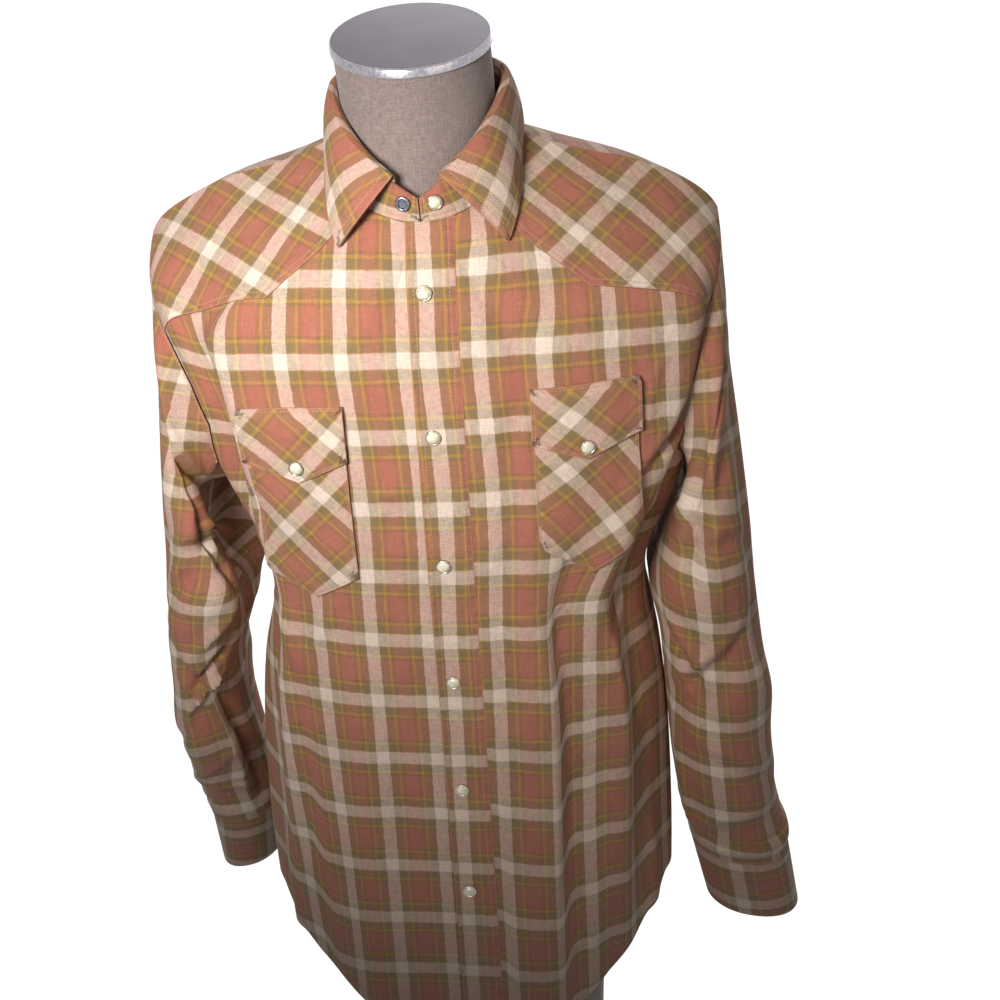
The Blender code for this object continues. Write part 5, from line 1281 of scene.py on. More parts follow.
def stand_angle(u):
    """Angle on the stand's top ring that faces a place on the fold, 0 to 360."""
    ring = named(RING_COLUMNS, STAND_TOP)
    x, y, _ = fold_line(u).T
    ahead = np.where(y < ring["side"], ring["front"], 2.0 * ring["side"] - ring["back"])
    return np.degrees(np.arctan2((x - ring["shift"]) / ring["half_width"],
                                 (y - ring["side"]) / (ahead - ring["side"]))) % 360.0


def stand_top(angle, lift=0.0):
    """The stand's top edge, moved out sideways."""
    point = ring_points({"top": STAND_TOP, "again": STAND_TOP}, angle, 0.0)
    turn = np.radians(angle)
    aside = np.stack([np.sin(turn), -np.cos(turn), np.zeros_like(turn)], axis=-1)
    return point + lift * aside


def collar_fall_grid(u, w):
    """Outer points of the fall: u round the neck, w from the stand's seam (-1)
    up to the fold (0) and down to the edge (1)."""
    place = collar_place(u)
    side = np.where(u < 0.0, -1.0, 1.0)
    fold = fold_line(u)
    edge_angle = side * place["edge_angle"]
    edge = body(edge_angle, place["edge_row"], place["edge_lift"])
    seat = stand_top(stand_angle(u), -COLLAR_CLOTH)
    seat[:, 2] += FALL_SEAT_RISE
    inner_fold = np.concatenate([seat[:, :2], fold[:, 2:] - FOLD_SHOULDER], axis=1)
    crest = 0.5 * (fold + inner_fold)
    crest[:, 2] = fold[:, 2] + FOLD_SHOULDER
    path = np.stack([seat, inner_fold, crest, fold])
    inside = np.swapaxes(np.stack([
        [np.interp(w, FOLD_PLACES, path[:, k, axis]) for axis in range(3)]
        for k in range(len(u))]), 1, 2)
    outside = fold[:, None] + (edge - fold)[:, None] * w[None, :, None]
    normal = grid_normals(outside)
    outside = outside + normal * place["bulge"][:, None, None] * (4.0 * w * (1.0 - w))[None, :, None]
    return np.where(w[None, :, None] < 0.0, inside, outside)


u = np.linspace(-1.0, 1.0, COLLAR_COLUMNS_COUNT + 1)
w = np.array([-1.0, -0.8, -0.6, -0.4, -0.2, *FOLD_PLACES[1:-1], *np.linspace(0.0, 1.0, 25)])
outer = collar_fall_grid(u, w)
flat = tube_cloth(outer, COLLAR_COLUMNS_COUNT // 2)
turn = flat[..., 0] / COLLAR_CURVE
at_fold = int(np.searchsorted(w, 0.0))
reach = COLLAR_CURVE + flat[..., 1] - flat[:, at_fold:at_fold + 1, 1]
flat = np.stack([COLLAR_EASE * reach * np.sin(turn), reach * np.cos(turn) - COLLAR_CURVE], axis=-1)
seam = seam_places(outer, ("last_row", "first_column", "last_column"))
inner = outer - COLLAR_CLOTH * grid_normals(outer)
piece = cloth_wall("collar_fall", outer, inner, flat, seam, THREAD_IN["collar_fall"])
settle(piece, "collar_fall", "flannel", flat, outer)

facing = stand_angle(np.linspace(1.0, -1.0, COLLAR_COLUMNS_COUNT + 1))
end = between(STAND_END_ANGLE, facing[0], 10)
angle = joined(end, facing, 360.0 - end[::-1])
foot = ring_points(RINGS, angle, 0.0) + np.array([0.0, 0.0, STAND_SEAM_RISE])
from_front = np.minimum(angle, 360.0 - angle) - STAND_END_ANGLE
full = 1.0 - STAND_NOTCH * (1.0 - np.clip(from_front / STAND_NOTCH_ANGLE, 0.0, 1.0)) ** 1.3
rise = full[:, None] * np.linspace(0.0, 1.0, 13)[None]
points = foot[:, None] + (stand_top(angle) - foot)[:, None] * rise[..., None]
flat = tube_cloth(points, len(angle) // 2)
seam = seam_places(points, ("first_row", "first_column", "last_column"))
inner = points - COLLAR_CLOTH * grid_normals(points)
piece = cloth_wall("collar_stand", points, inner, flat, seam, THREAD_IN["collar_stand"])
settle(piece, "collar_stand", "flannel", flat, points)

# %% [markdown]
# ## Snaps
#
# A snap's cap is turned metal with a pearl set in its rim.  It pulls apart and
# presses home along its own axis, and only when the cloth bends, so it has no
# joint here.  A profile is spun round an axis, which is how a lathe would make
# it.  The upper snap at the collar is an open ring stud instead of a pearl.

# %% Spin a snap
CUFF_SNAP_TURN = 1.68          # in the middle of the lap
STAND_SNAP_ANGLE = 10.0        # to each side of centre front
STAND_SNAP_SCALE = 0.95
PEARL_EDGE = 0.80 * 0.995      # the pearl's share of the cap's radius, just inside its rim
PEARL_FOOT = 0.3               # and the share of the cap's height that it starts above
SNAP_RIM = ((0.96, 0.00), (1.00, 0.08), (1.00, 0.34), (0.97, 0.46), (0.90, 0.52),
            (0.83, 0.47), (0.80, 0.40))
SNAP_PEARL = ((0.80, 0.40), (0.74, 0.56), (0.60, 0.76), (0.40, 0.91), (0.20, 0.98), (0.0, 1.0))
STUD_RING = ((0.96, 0.00), (1.00, 0.20), (1.00, 0.50), (0.93, 0.72), (0.80, 0.80),
             (0.66, 0.74), (0.56, 0.55), (0.53, 0.24))
STUD_FLOOR = ((0.53, 0.24), (0.30, 0.20), (0.0, 0.18))
SNAP_SPIN_STEPS = 48


def spun(name, profile, place, normal, scale):
    """A turned piece: a profile of radius and height, spun round its axis."""
    mesh = bmesh.new()
    bmesh.ops.create_vert(mesh, co=(SNAP_RADIUS * profile[0][0], 0.0, SNAP_HEIGHT * profile[0][1]))
    edges = []
    last = mesh.verts[:]
    for radius, height in profile[1:]:
        grown = bmesh.ops.extrude_vert_indiv(mesh, verts=last)
        last = grown["verts"]
        last[0].co = (SNAP_RADIUS * radius, 0.0, SNAP_HEIGHT * height)
        edges += grown["edges"]
    bmesh.ops.spin(mesh, geom=mesh.verts[:] + mesh.edges[:], cent=(0, 0, 0), axis=(0, 0, 1),
                   dvec=(0, 0, 0), angle=2.0 * math.pi, steps=SNAP_SPIN_STEPS, use_merge=True,
                   use_duplicate=False)
    bmesh.ops.remove_doubles(mesh, verts=mesh.verts[:], dist=1e-6)
    bmesh.ops.holes_fill(mesh, edges=[e for e in mesh.edges if e.is_boundary], sides=0)
    bmesh.ops.recalc_face_normals(mesh, faces=mesh.faces[:])
    turn = normal.to_track_quat("Z", "Y").to_matrix().to_4x4()
    bmesh.ops.transform(mesh, verts=mesh.verts[:],
                        matrix=mathutils.Matrix.Translation(place) @ turn
                        @ mathutils.Matrix.Diagonal((scale, scale, scale, 1.0)))
    return add_piece(name, mesh, crease=50)


def make_snap(node, place, normal, slot="pearl", scale=1.0):
    """A rim and its pearl, or an open ring stud, in place of the solid's cap."""
    profile = SNAP_RIM + SNAP_PEARL[1:] if slot == "pearl" else STUD_RING + STUD_FLOOR[1:]
    place, normal = mathutils.Vector(place), mathutils.Vector(normal)
    piece = spun(node + "_" + slot, profile, place, normal, scale)
    piece.data.materials.append(METALS[slot])
    if slot == "pearl":
        piece.data.materials.append(METALS["pearl_face"])
        for face in piece.data.polygons:
            out = (face.center - place).dot(normal)
            away = (face.center - place).length
            flat = math.sqrt(max(away * away - out * out, 0.0))
            if flat < SNAP_RADIUS * scale * PEARL_EDGE and out > PEARL_FOOT * SNAP_HEIGHT:
                face.material_index = 1
    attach(piece, "root")
    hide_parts(node)


METALS = {name: bpy.data.materials.new("snap_" + name) for name in ("pearl", "pearl_face", "stud")}
print("snap is", round(2000 * SNAP_RADIUS, 1), "mm across")

# %% Set the snaps
def snap_on_body(node, x, drop, lift):
    """A snap on a cloth piece that lies on the front, at an X and a drop."""
    angle, row = front_place(np.array([x]), np.array([drop]))
    place = body(angle, row, lift + SNAP_LIFT)[0]
    make_snap(node, place, surface_normal(lambda a, r: body(a, r, lift), angle, row)[0])


def snap_on_cuff(node, side):
    turns = CUFF_SNAP_TURN + np.array([-0.01, 0.0, 0.01])
    rows = np.array([0.49, 0.5, 0.51])
    points = cuff_turn(side, turns, rows)
    normal = grid_normals(points)[1, 1]
    outward = points[1, 1] - cuff_turn(side, turns - 0.5, rows)[1, 1]
    if np.dot(normal, outward) < 0.0:
        normal = -normal
    make_snap(node, points[1, 1] + normal * (CLOTH + CUFF_LAP_GAP + SNAP_LIFT), normal)


def snap_on_stand(node, angle, slot):
    foot, top = ring_points(RINGS, angle, 0.0), stand_top(angle)
    normal = np.cross(foot - top, ring_points(RINGS, angle + 2.0, 0.0) - foot)
    normal = normal / np.linalg.norm(normal)
    if normal[1] > 0.0:
        normal = -normal
    make_snap(node, 0.5 * (foot + top) + normal * SNAP_LIFT, normal, slot, STAND_SNAP_SCALE)


for index in range(FRONT_SNAPS):
    snap_on_body(f"snap_front_{index + 1}", 0.0, FIRST_SNAP_DROP + SNAP_SPACING * index,
                 PLACKET_LIFT + CLOTH)
for side, label in SIDES:
    size = pocket_edges(side)
    x = side * 0.5 * (size["inner"] + size["outer"])
    snap_on_body(f"snap_pocket_{label}", x, size["flap_point"] - FLAP_SNAP_RISE,
                 2.0 * (OVERLAY_LIFT + CLOTH))
    snap_on_cuff(f"snap_cuff_{label}", side)
snap_on_stand("snap_collar_cap", STAND_SNAP_ANGLE, "pearl")
snap_on_stand("snap_collar_stud", -STAND_SNAP_ANGLE, "stud")
print(FRONT_SNAPS + 6, "snaps set")

# %% [markdown]
# ## The dress form
#
# The form is a padded torso under linen, with a flat foot and a short neck
# closed by a metal cap.  It shows only at the neck and below the hem, but it is
# built whole, as a stack of rings skinned from the foot up.

# %% Form sizes
FORM_CLEARANCE = 0.0016        # under the yokes, where the shirt hangs on the form
FORM_BACK_EASE = 0.0040        # more room behind the shoulder line
FORM_RINGS = {
    "neck seam":     (0.0570, -0.062, -0.004, 0.049, 0.066, 0.022, 0.017, 2.0, -0.002),
    "collar spread": (0.0990, -0.085, 0.001, 0.075, 0.094, 0.036, 0.030, 2.1, 0.000),
    "mid shoulder":  (0.1530, -0.090, 0.004, 0.095, 0.124, 0.052, 0.055, 2.3, 0.000),
    "shoulder tip":  (0.2020, -0.092, 0.008, 0.100, 0.157, 0.086, 0.098, 2.5, 0.000),
    "upper armhole": (0.1860, -0.092, 0.010, 0.101, 0.195, 0.145, 0.160, 2.4, 0.000),
    "mid armhole":   (0.1660, -0.091, 0.010, 0.099, 0.240, 0.210, 0.225, 2.3, 0.000),
    "underarm":      (0.1460, -0.089, 0.009, 0.095, 0.295, 0.285, 0.290, 2.3, 0.000),
    "ribs":          (0.1310, -0.085, 0.008, 0.088, 0.360, 0.355, 0.360, 2.3, 0.000),
    "waist":         (0.1260, -0.078, 0.008, 0.082, 0.450, 0.450, 0.450, 2.3, 0.000),
    "hip":           (0.1250, -0.074, 0.004, 0.084, 0.590, 0.590, 0.590, 2.3, 0.000),
    "seat":          (0.1140, -0.070, 0.002, 0.078, 0.720, 0.720, 0.720, 2.3, 0.000),
    "base":          (0.1080, -0.070, 0.000, 0.070, 0.872, 0.872, 0.872, 2.3, 0.000),
}
NECK_COLUMNS = ("radius_x", "radius_y", "shift", "middle", "drop", "slope")
FORM_NECK = {
    "root":   (0.0545, 0.0530, -0.003, -0.008, 0.012, 0.57),
    "middle": (0.0540, 0.0515, -0.003, -0.013, -0.018, 0.35),
    "top":    (0.0540, 0.0510, -0.004, -0.019, -0.046, 0.29),
}
CAP_RADIUS_X = 0.0558
CAP_RADIUS_Y = 0.0528
CAP_EDGE = ((1.0, 0.0004), (1.0, 0.0042), (0.996, 0.0053), (0.988, 0.0060), (0.978, 0.0063),
            (0.970, 0.0064), (0.960, 0.0064), (0.86, 0.0066), (0.5, 0.0070), (0.03, 0.0072))
CAP_FACE_SHARE = 0.974         # the brushed face's share of the cap's radius

# %% Skin the form
FORM_SIDES = 96


def form_rings():
    """Rings of the form from its flat foot up to the top of its neck."""
    angle = np.arange(FORM_SIDES) * 360.0 / FORM_SIDES
    rows = joined(between(len(FORM_RINGS) - 1.0, UNDERARM_ROW, 24),
                  between(UNDERARM_ROW, TIP_ROW, 18), between(TIP_ROW, 0.0, 18))
    rings = []
    for row in rows:
        own = ring_points(FORM_RINGS, angle, row)
        ease = FORM_CLEARANCE + FORM_BACK_EASE * np.maximum(0.0, -np.cos(np.radians(angle)))
        under = body(angle, min(row, UNDERARM_ROW), -CLOTH - ease)
        blend = float(smooth_step(2.4, 3.6, row) + 1.0 - smooth_step(0.0, 0.5, row))
        rings.append(under + (own - under) * blend)
    rings[0][:, 2] = 0.0
    neck = np.array(list(FORM_NECK.values()))
    for place in np.linspace(0.0, 2.0, 15):
        rings.append(neck_ring(smooth_rows(neck, place), angle))
    return rings


def neck_ring(values, angle, rise=0.0):
    ring = named(NECK_COLUMNS, values)
    turn = np.radians(angle)
    x = ring["shift"] + ring["radius_x"] * np.sin(turn)
    y = ring["middle"] - ring["radius_y"] * np.cos(turn)
    drop = ring["drop"] - rise - ring["slope"] * (y - ring["middle"])
    return np.stack([x, y, NECK_POINT_HEIGHT - drop], axis=-1)


def stack_rings(name, rings):
    """A closed solid skinned over a stack of rings, foot first."""
    mesh = bmesh.new()
    sides = len(rings[0])
    bmesh.ops.create_grid(mesh, x_segments=sides, y_segments=len(rings) - 1, size=0.5)
    for vertex in mesh.verts:
        i = round((vertex.co.x + 0.5) * sides) % sides
        j = round((vertex.co.y + 0.5) * (len(rings) - 1))
        vertex.co = rings[j][i]
    bmesh.ops.remove_doubles(mesh, verts=mesh.verts[:], dist=1e-7)
    bmesh.ops.holes_fill(mesh, edges=[e for e in mesh.edges if e.is_boundary], sides=0)
    bmesh.ops.recalc_face_normals(mesh, faces=mesh.faces[:])
    return add_piece(name, mesh)


form = stack_rings("form_body", form_rings())
FORM_FINISHES = {name: bpy.data.materials.new("form_" + name)
                 for name in ("linen", "brushed_metal", "cap_rim")}
form.data.materials.append(FORM_FINISHES["linen"])
angle = np.arange(FORM_SIDES) * 360.0 / FORM_SIDES
top = list(FORM_NECK.values())[-1]
cap = stack_rings("form_cap", [neck_ring((CAP_RADIUS_X * grow, CAP_RADIUS_Y * grow, *top[2:]), angle, rise)
                               for grow, rise in CAP_EDGE])
for name in ("brushed_metal", "cap_rim"):
    cap.data.materials.append(FORM_FINISHES[name])
for face in cap.data.polygons:
    flat = face.center - mathutils.Vector((top[2], top[3], face.center.z))
    if math.hypot(flat.x / CAP_RADIUS_X, flat.y / CAP_RADIUS_Y) > CAP_FACE_SHARE:
        face.material_index = 1
for piece, node, slot in ((form, "form_torso", "linen"), (cap, "form_neck_cap", "brushed_metal")):
    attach(piece, "root")
    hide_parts(node)
print("form and cap", len(form.data.polygons), len(cap.data.polygons), "faces")

# %% [markdown]
# ## Writing materials as sums
#
# A material is a graph of nodes.  Joining nodes by hand hides the sum they do,
# so a small class wraps an output socket and lets ordinary Python operators add
# the Math nodes.  Colours and vectors go through their own nodes instead.

# %% Sockets that add up
class Wire:
    """An output socket that adds Math nodes when it is used in a sum."""

    def __init__(self, nodes, socket):
        self.nodes, self.socket = nodes, socket

    def maths(self, operation, *others):
        return self.nodes.add("ShaderNodeMath", {"operation": operation},
                              dict(enumerate([self, *others])))

    def __add__(self, other):
        return self.maths("ADD", other)

    def __radd__(self, other):
        return self.maths("ADD", other)

    def __sub__(self, other):
        return self.maths("SUBTRACT", other)

    def __rsub__(self, other):
        return self.nodes.add("ShaderNodeMath", {"operation": "SUBTRACT"}, {0: other, 1: self})

    def __mul__(self, other):
        return self.maths("MULTIPLY", other)

    def __rmul__(self, other):
        return self.maths("MULTIPLY", other)

    def __abs__(self):
        return self.maths("ABSOLUTE")

    def below(self, edge, soft):
        """1 where the value is under the edge, 0 where it is over, with a soft step."""
        return self.nodes.ramp(self, edge + soft, edge - soft)

    def over(self, edge, soft):
        return self.nodes.ramp(self, edge - soft, edge + soft)

    def sine(self):
        return self.maths("SINE")


class Nodes:
    """A material's node tree, with one method that adds any node."""

    def __init__(self, material):
        material.use_nodes = True
        self.tree = material.node_tree
        self.shader = self.tree.nodes["Principled BSDF"]

    def add(self, kind, settings=None, inputs=None, output=0):
        node = self.tree.nodes.new(kind)
        for name, value in (settings or {}).items():
            setattr(node, name, value)
        for name, value in (inputs or {}).items():
            self.feed(node.inputs[name], value)
        return Wire(self, node.outputs[output])

    def feed(self, socket, value):
        if isinstance(value, Wire):
            self.tree.links.new(value.socket, socket)
        elif socket.type == "RGBA" and len(value) == 3:
            socket.default_value = (*value, 1.0)
        else:
            socket.default_value = value

    def ramp(self, value, low, high):
        """Smooth step of a value from 0 at low to 1 at high."""
        return self.add("ShaderNodeMapRange", {"interpolation_type": "SMOOTHSTEP"},
                        {"Value": value, "From Min": low, "From Max": high})

    def mix(self, factor, first, second):
        return self.add("ShaderNodeMix", {"data_type": "RGBA"},
                        {0: factor, 6: first, 7: second}, output=2)

    def noise(self, place, scale, detail):
        return self.add("ShaderNodeTexNoise", {}, {"Vector": place, "Scale": scale,
                                                   "Detail": detail})

    def attribute(self, name):
        """The three parts of a point attribute, as number sockets."""
        return self.parts(self.add("ShaderNodeAttribute", {"attribute_name": name}, output=1))

    def object_place(self):
        """Object coordinates, whole and as three number sockets."""
        place = self.add("ShaderNodeTexCoord", output=3)
        return place, *self.parts(place)

    def parts(self, vector):
        node = self.add("ShaderNodeSeparateXYZ", {}, {0: vector}).socket.node
        return [Wire(self, socket) for socket in node.outputs]

    def join(self, x, y, z):
        return self.add("ShaderNodeCombineXYZ", {}, {0: x, 1: y, 2: z})

    def bump(self, height, distance):
        return self.add("ShaderNodeBump", {}, {"Height": height, "Distance": distance,
                                               "Strength": 1.0})

    def surface(self, **values):
        for name, value in values.items():
            self.feed(self.shader.inputs[name.replace("_", " ")], value)


print("Wire and Nodes are ready")

# %% [markdown]
# ## Plaid flannel
#
# The plaid is woven from dyed yarn.  Across the cloth the warp changes colour in
# stripes, and along it the weft does the same in bands; where they cross, both
# show equally.  So the material works out a warp colour and a weft colour from
# the `cloth` attribute and mixes them half and half, with a fine twill deciding
# which yarn is on top.  The order is cream, olive, a mustard line, brown, coral
# and back again.

# %% Yarn colours and stripe widths
CREAM = (0.75, 0.60, 0.49)
TAN = (0.40, 0.24, 0.12)
OLIVE = (0.240, 0.154, 0.066)
MUSTARD = (0.44, 0.245, 0.045)
BROWN = (0.265, 0.128, 0.060)
CORAL = (0.41, 0.138, 0.088)
WARP_REPEAT = 0.0440
WARP_STRIPES = ((0.0051, CREAM), (0.0117, OLIVE), (0.0138, MUSTARD), (0.0167, BROWN), (None, CORAL))
WEFT_REPEAT = 0.0560
WEFT_STRIPES = ((0.0057, CREAM), (0.0066, TAN), (0.0134, OLIVE), (0.0159, MUSTARD),
                (0.0183, BROWN), (None, CORAL))
YARN_EDGE = 0.00035            # half the width over which one yarn gives way to the next
YARN_SWAY = 0.0016             # how far a stripe's edge wanders
TWILL_PITCH = 0.00115
# Heights of the bumps in the cloth, in metres.
HEIGHTS = {"twill": 0.00006, "nap": 0.00024, "blur": 0.00034, "stitch": 0.00022,
           "rumple": 0.0070, "slub": 0.00010, "groove": 0.00035, "pucker": 0.00018}
SLUB_SHADE = 0.48              # how strongly thick and thin yarn changes the tone
PUCKER_PITCH = 0.0075          # gathers along a sewn edge
STITCH_PITCH, STITCH_LENGTH = 0.0027, 0.0019
EDGE_TINT = (0.46, 0.20, 0.13)
THREAD = (0.50, 0.31, 0.19)


def striped(nodes, place, repeat, stripes):
    """Yarn colour at a place across the stripes, mirrored about each cream centre."""
    distance = place.maths("PINGPONG", 0.5 * repeat)
    colour = stripes[0][1]
    for (edge, _), (_, following) in zip(stripes[:-1], stripes[1:]):
        colour = nodes.mix(distance.over(edge, YARN_EDGE), colour, following)
    return colour


def plaid(material):
    nodes = Nodes(material)
    weft_place, warp_place, _ = nodes.attribute("cloth")
    seam, along, thread = nodes.attribute("seam")
    flat = nodes.join(weft_place, warp_place, 0.0)
    sway = (nodes.noise(flat, 160.0, 2.0) - 0.5) * YARN_SWAY
    sway_down = (nodes.noise(nodes.join(warp_place, weft_place, 3.0), 160.0, 2.0) - 0.5) * YARN_SWAY
    warp_yarn = striped(nodes, weft_place + sway, WARP_REPEAT, WARP_STRIPES)
    weft_yarn = striped(nodes, warp_place + sway_down, WEFT_REPEAT, WEFT_STRIPES)
    twill = ((weft_place + warp_place) * (2.0 * math.pi / TWILL_PITCH)).sine() * 0.5 + 0.5
    nap = nodes.noise(flat, 900.0, 3.0)
    down_slub = nodes.noise(nodes.join(weft_place, warp_place * 0.06, 7.0), 1500.0, 2.0)
    cross_slub = nodes.noise(nodes.join(weft_place * 0.06, warp_place, 9.0), 1500.0, 2.0)
    rumple = nodes.noise(nodes.join(weft_place, warp_place * 0.7, 4.0), 26.0, 3.0)
    blur = nodes.noise(flat, 260.0, 3.0)
    warp_share = 0.5 + (twill - 0.5) * 0.24 + (nap - 0.5) * 0.5 + (blur - 0.5) * 0.2
    cloth = nodes.mix(nodes.ramp(warp_share, 0.0, 1.0), weft_yarn, warp_yarn)
    worn = nodes.noise(flat, 18.0, 3.0)
    tone = (0.90 + 0.16 * (worn - 0.5) + 0.16 * (nap - 0.5)
            + SLUB_SHADE * (down_slub - 0.5) + SLUB_SHADE * (cross_slub - 0.5))
    shade = nodes.add("ShaderNodeCombineColor", {}, {0: tone, 1: tone, 2: tone})
    cloth = nodes.add("ShaderNodeMix", {"data_type": "RGBA", "blend_type": "MULTIPLY"},
                      {0: 1.0, 6: cloth, 7: shade}, output=2)
    stitch_row = abs(seam - thread).below(0.00045, 0.00015)
    dash = along.maths("PINGPONG", STITCH_PITCH / 2).below(STITCH_LENGTH / 2, 0.0002)
    stitch = stitch_row * dash
    edge = seam.below(0.0009, 0.0004)
    cloth = nodes.mix(edge * 0.55, cloth, EDGE_TINT)
    cloth = nodes.mix(stitch * 0.5, cloth, THREAD)
    pucker = (along * (2.0 * math.pi / PUCKER_PITCH) + nap * 3.0).sine() * seam.below(0.004, 0.004)
    groove = abs(seam - thread).below(0.0006, 0.0009)
    height = (twill * HEIGHTS["twill"] + nap * HEIGHTS["nap"] + blur * HEIGHTS["blur"]
              + stitch * HEIGHTS["stitch"] + rumple * HEIGHTS["rumple"]
              + (down_slub + cross_slub) * HEIGHTS["slub"]
              - groove * HEIGHTS["groove"] + pucker * HEIGHTS["pucker"])
    nodes.surface(Base_Color=cloth, Roughness=0.88, Normal=nodes.bump(height, 1.0))
    nodes.shader.inputs["Sheen Weight"].default_value = 0.06
    nodes.shader.inputs["Sheen Roughness"].default_value = 0.5
    nodes.shader.inputs["Sheen Tint"].default_value = (0.9, 0.8, 0.72, 1.0)
    nodes.shader.inputs["Specular IOR Level"].default_value = 0.25


for material in PLAID.values():
    plaid(material)
print("plaid repeats every", WARP_REPEAT, "by", WEFT_REPEAT, "m")

# %% [markdown]
# ## Pearl and metal
#
# The pearl is a warm white resin with slow clouds in it and a clear gloss.  Its
# rim is plated brass, dulled a little, and the ring stud is dark grey metal.

# %% Snap finishes
def pearl_face(material):
    nodes = Nodes(material)
    place = nodes.add("ShaderNodeTexCoord", output=3)
    cloud = nodes.noise(place, 340.0, 3.0)
    colour = nodes.mix(cloud.over(0.5, 0.25), (0.56, 0.49, 0.33), (0.80, 0.76, 0.62))
    nodes.surface(Base_Color=colour, Roughness=0.20)
    nodes.shader.inputs["Coat Weight"].default_value = 0.7
    nodes.shader.inputs["Coat Roughness"].default_value = 0.08
    nodes.shader.inputs["Subsurface Weight"].default_value = 0.1
    nodes.shader.inputs["Subsurface Scale"].default_value = 0.001


def plated(material, light, dark, roughness):
    nodes = Nodes(material)
    place = nodes.add("ShaderNodeTexCoord", output=3)
    wear = nodes.noise(place, 420.0, 4.0)
    nodes.surface(Base_Color=nodes.mix(wear.over(0.5, 0.3), dark, light),
                  Roughness=roughness + 0.14 * wear, Metallic=1.0)


pearl_face(METALS["pearl_face"])
plated(METALS["pearl"], (0.48, 0.43, 0.34), (0.20, 0.17, 0.13), 0.24)
plated(METALS["stud"], (0.30, 0.30, 0.34), (0.10, 0.10, 0.12), 0.22)
print("snap finishes are set")

# %% [markdown]
# ## Linen and the brushed cap
#
# The form's linen is a plain weave of uneven grey-beige threads, so two sets of
# fine noise, each stretched one way, cross on it.  The cap is brushed across its
# face and polished at the rim.

# %% Linen and cap finishes
# Linen is lighter above this height, which only the back of the neck reaches.
NECK_BAND_FOOT = 0.9245


def linen(material):
    nodes = Nodes(material)
    place, x, y, z = nodes.object_place()
    rows = nodes.noise(nodes.join(x * 0.12, y * 0.12, z), 1500.0, 2.0)
    columns = nodes.noise(nodes.join(x, y, z * 0.08), 1300.0, 2.0)
    patch = nodes.noise(place, 14.0, 3.0)
    weave = 0.5 * rows + 0.5 * columns
    colour = nodes.mix(weave.over(0.5, 0.16), (0.165, 0.125, 0.108), (0.285, 0.218, 0.190))
    colour = nodes.mix(z.over(NECK_BAND_FOOT, 0.0008) * 0.5, colour, (0.42, 0.31, 0.26))
    colour = nodes.mix(patch.over(0.5, 0.3) * 0.25, colour, (0.20, 0.152, 0.132))
    nodes.surface(Base_Color=colour, Roughness=0.92, Normal=nodes.bump(weave, 0.0006))
    nodes.shader.inputs["Sheen Weight"].default_value = 0.2


def brushed(material):
    nodes = Nodes(material)
    place, x, y, z = nodes.object_place()
    lines = nodes.noise(nodes.join(x * 0.03, y, z), 1600.0, 3.0)
    clouds = nodes.noise(place, 26.0, 3.0)
    scuff = nodes.noise(nodes.join(x, y * 0.3, z), 70.0, 5.0).over(0.69, 0.04)
    colour = nodes.mix(clouds.over(0.5, 0.3), (0.100, 0.090, 0.104), (0.128, 0.117, 0.134))
    colour = nodes.mix(scuff * 0.5, colour, (0.09, 0.08, 0.08))
    nodes.surface(Base_Color=colour, Roughness=0.34 + 0.12 * lines, Metallic=1.0,
                  Normal=nodes.bump(lines, 0.00006))


linen(FORM_FINISHES["linen"])
brushed(FORM_FINISHES["brushed_metal"])
plated(FORM_FINISHES["cap_rim"], (0.42, 0.40, 0.43), (0.28, 0.26, 0.29), 0.14)
print("form finishes are set")

# %% [markdown]
# ## Floor and light
#
# Soft studio light comes from four lamps.  The key is in front and above, which
# leaves the undersides of folds dark.  A fill, a crown and a rear lamp and a dim
# warm surround light the rest.  The floor and wall glow white, but diffuse rays
# and shadows pass them by.

# %% Floor, lamps and surround
STUDIO_RADIUS = 14.0
STUDIO_GLOW = 1.05             # just over white


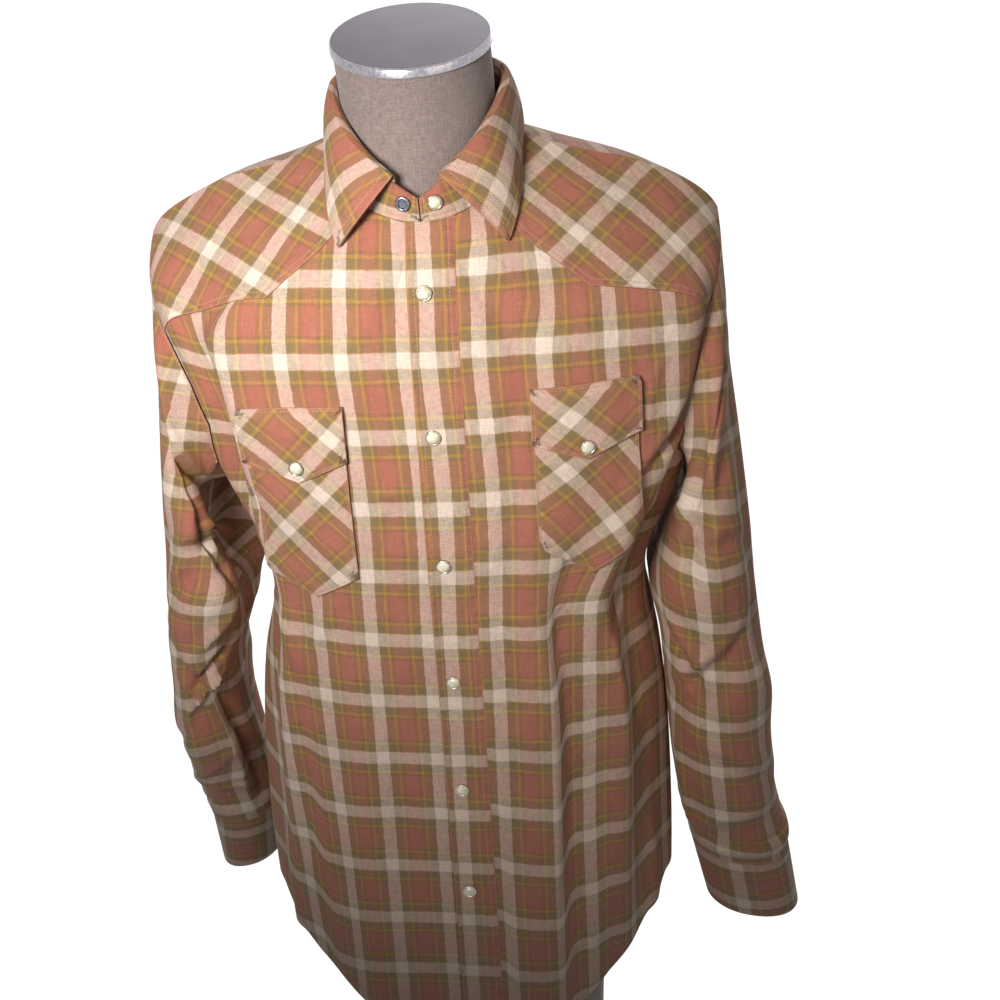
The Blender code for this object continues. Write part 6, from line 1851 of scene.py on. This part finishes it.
def lamp(name, place, target, size, spread, power, colour=(1.0, 1.0, 1.0)):
    data = bpy.data.lights.new(name, "AREA")
    data.color = colour
    data.shape = "RECTANGLE"
    data.size, data.size_y = size
    data.energy = power
    data.spread = math.radians(spread)
    item = bpy.data.objects.new(name, data)
    item.location = place
    direction = mathutils.Vector(target) - mathutils.Vector(place)
    item.rotation_euler = direction.to_track_quat("-Z", "Y").to_euler()
    bpy.context.scene.collection.objects.link(item)


lamp("key", (-0.30, -0.92, 1.08), (-0.08, -0.03, 0.745), (0.34, 0.26), 60, 2.02)
lamp("fill", (0.9, -1.1, 1.2), (0.1, 0.0, 0.78), (1.0, 0.8), 90, 0.85, (1.0, 0.86, 0.74))
lamp("crown", (0.1, 0.6, 1.9), (0.0, 0.0, 0.85), (0.9, 0.7), 120, 0.6)
lamp("rear", (0.25, 1.35, 1.15), (0.0, 0.0, 0.50), (1.0, 0.8), 90, 5.0)
world = bpy.data.worlds.new("surround")
world.use_nodes = True
world.node_tree.nodes["Background"].inputs["Color"].default_value = (1.0, 0.82, 0.66, 1.0)
world.node_tree.nodes["Background"].inputs["Strength"].default_value = 0.022
bpy.context.scene.world = world
bpy.context.scene.view_settings.view_transform = "Standard"


def backdrop(name, mesh):
    """A studio surface that glows white and lights the shirt only by reflection."""
    item = add_piece(name, mesh)
    paint = bpy.data.materials.new(name + "_paint")
    nodes = Nodes(paint)
    nodes.surface(Base_Color=(0.0, 0.0, 0.0), Roughness=0.9)
    nodes.shader.inputs["Emission Color"].default_value = (1.0, 1.0, 1.0, 1.0)
    nodes.shader.inputs["Emission Strength"].default_value = STUDIO_GLOW
    item.data.materials.append(paint)
    item.visible_diffuse = False
    item.visible_shadow = False


mesh = bmesh.new()
bmesh.ops.create_circle(mesh, cap_ends=True, segments=96, radius=STUDIO_RADIUS)
backdrop("floor", mesh)
mesh = bmesh.new()
bmesh.ops.create_uvsphere(mesh, u_segments=48, v_segments=24, radius=STUDIO_RADIUS)
bmesh.ops.reverse_faces(mesh, faces=mesh.faces[:])
backdrop("wall", mesh)
print("lamps and floor are set")
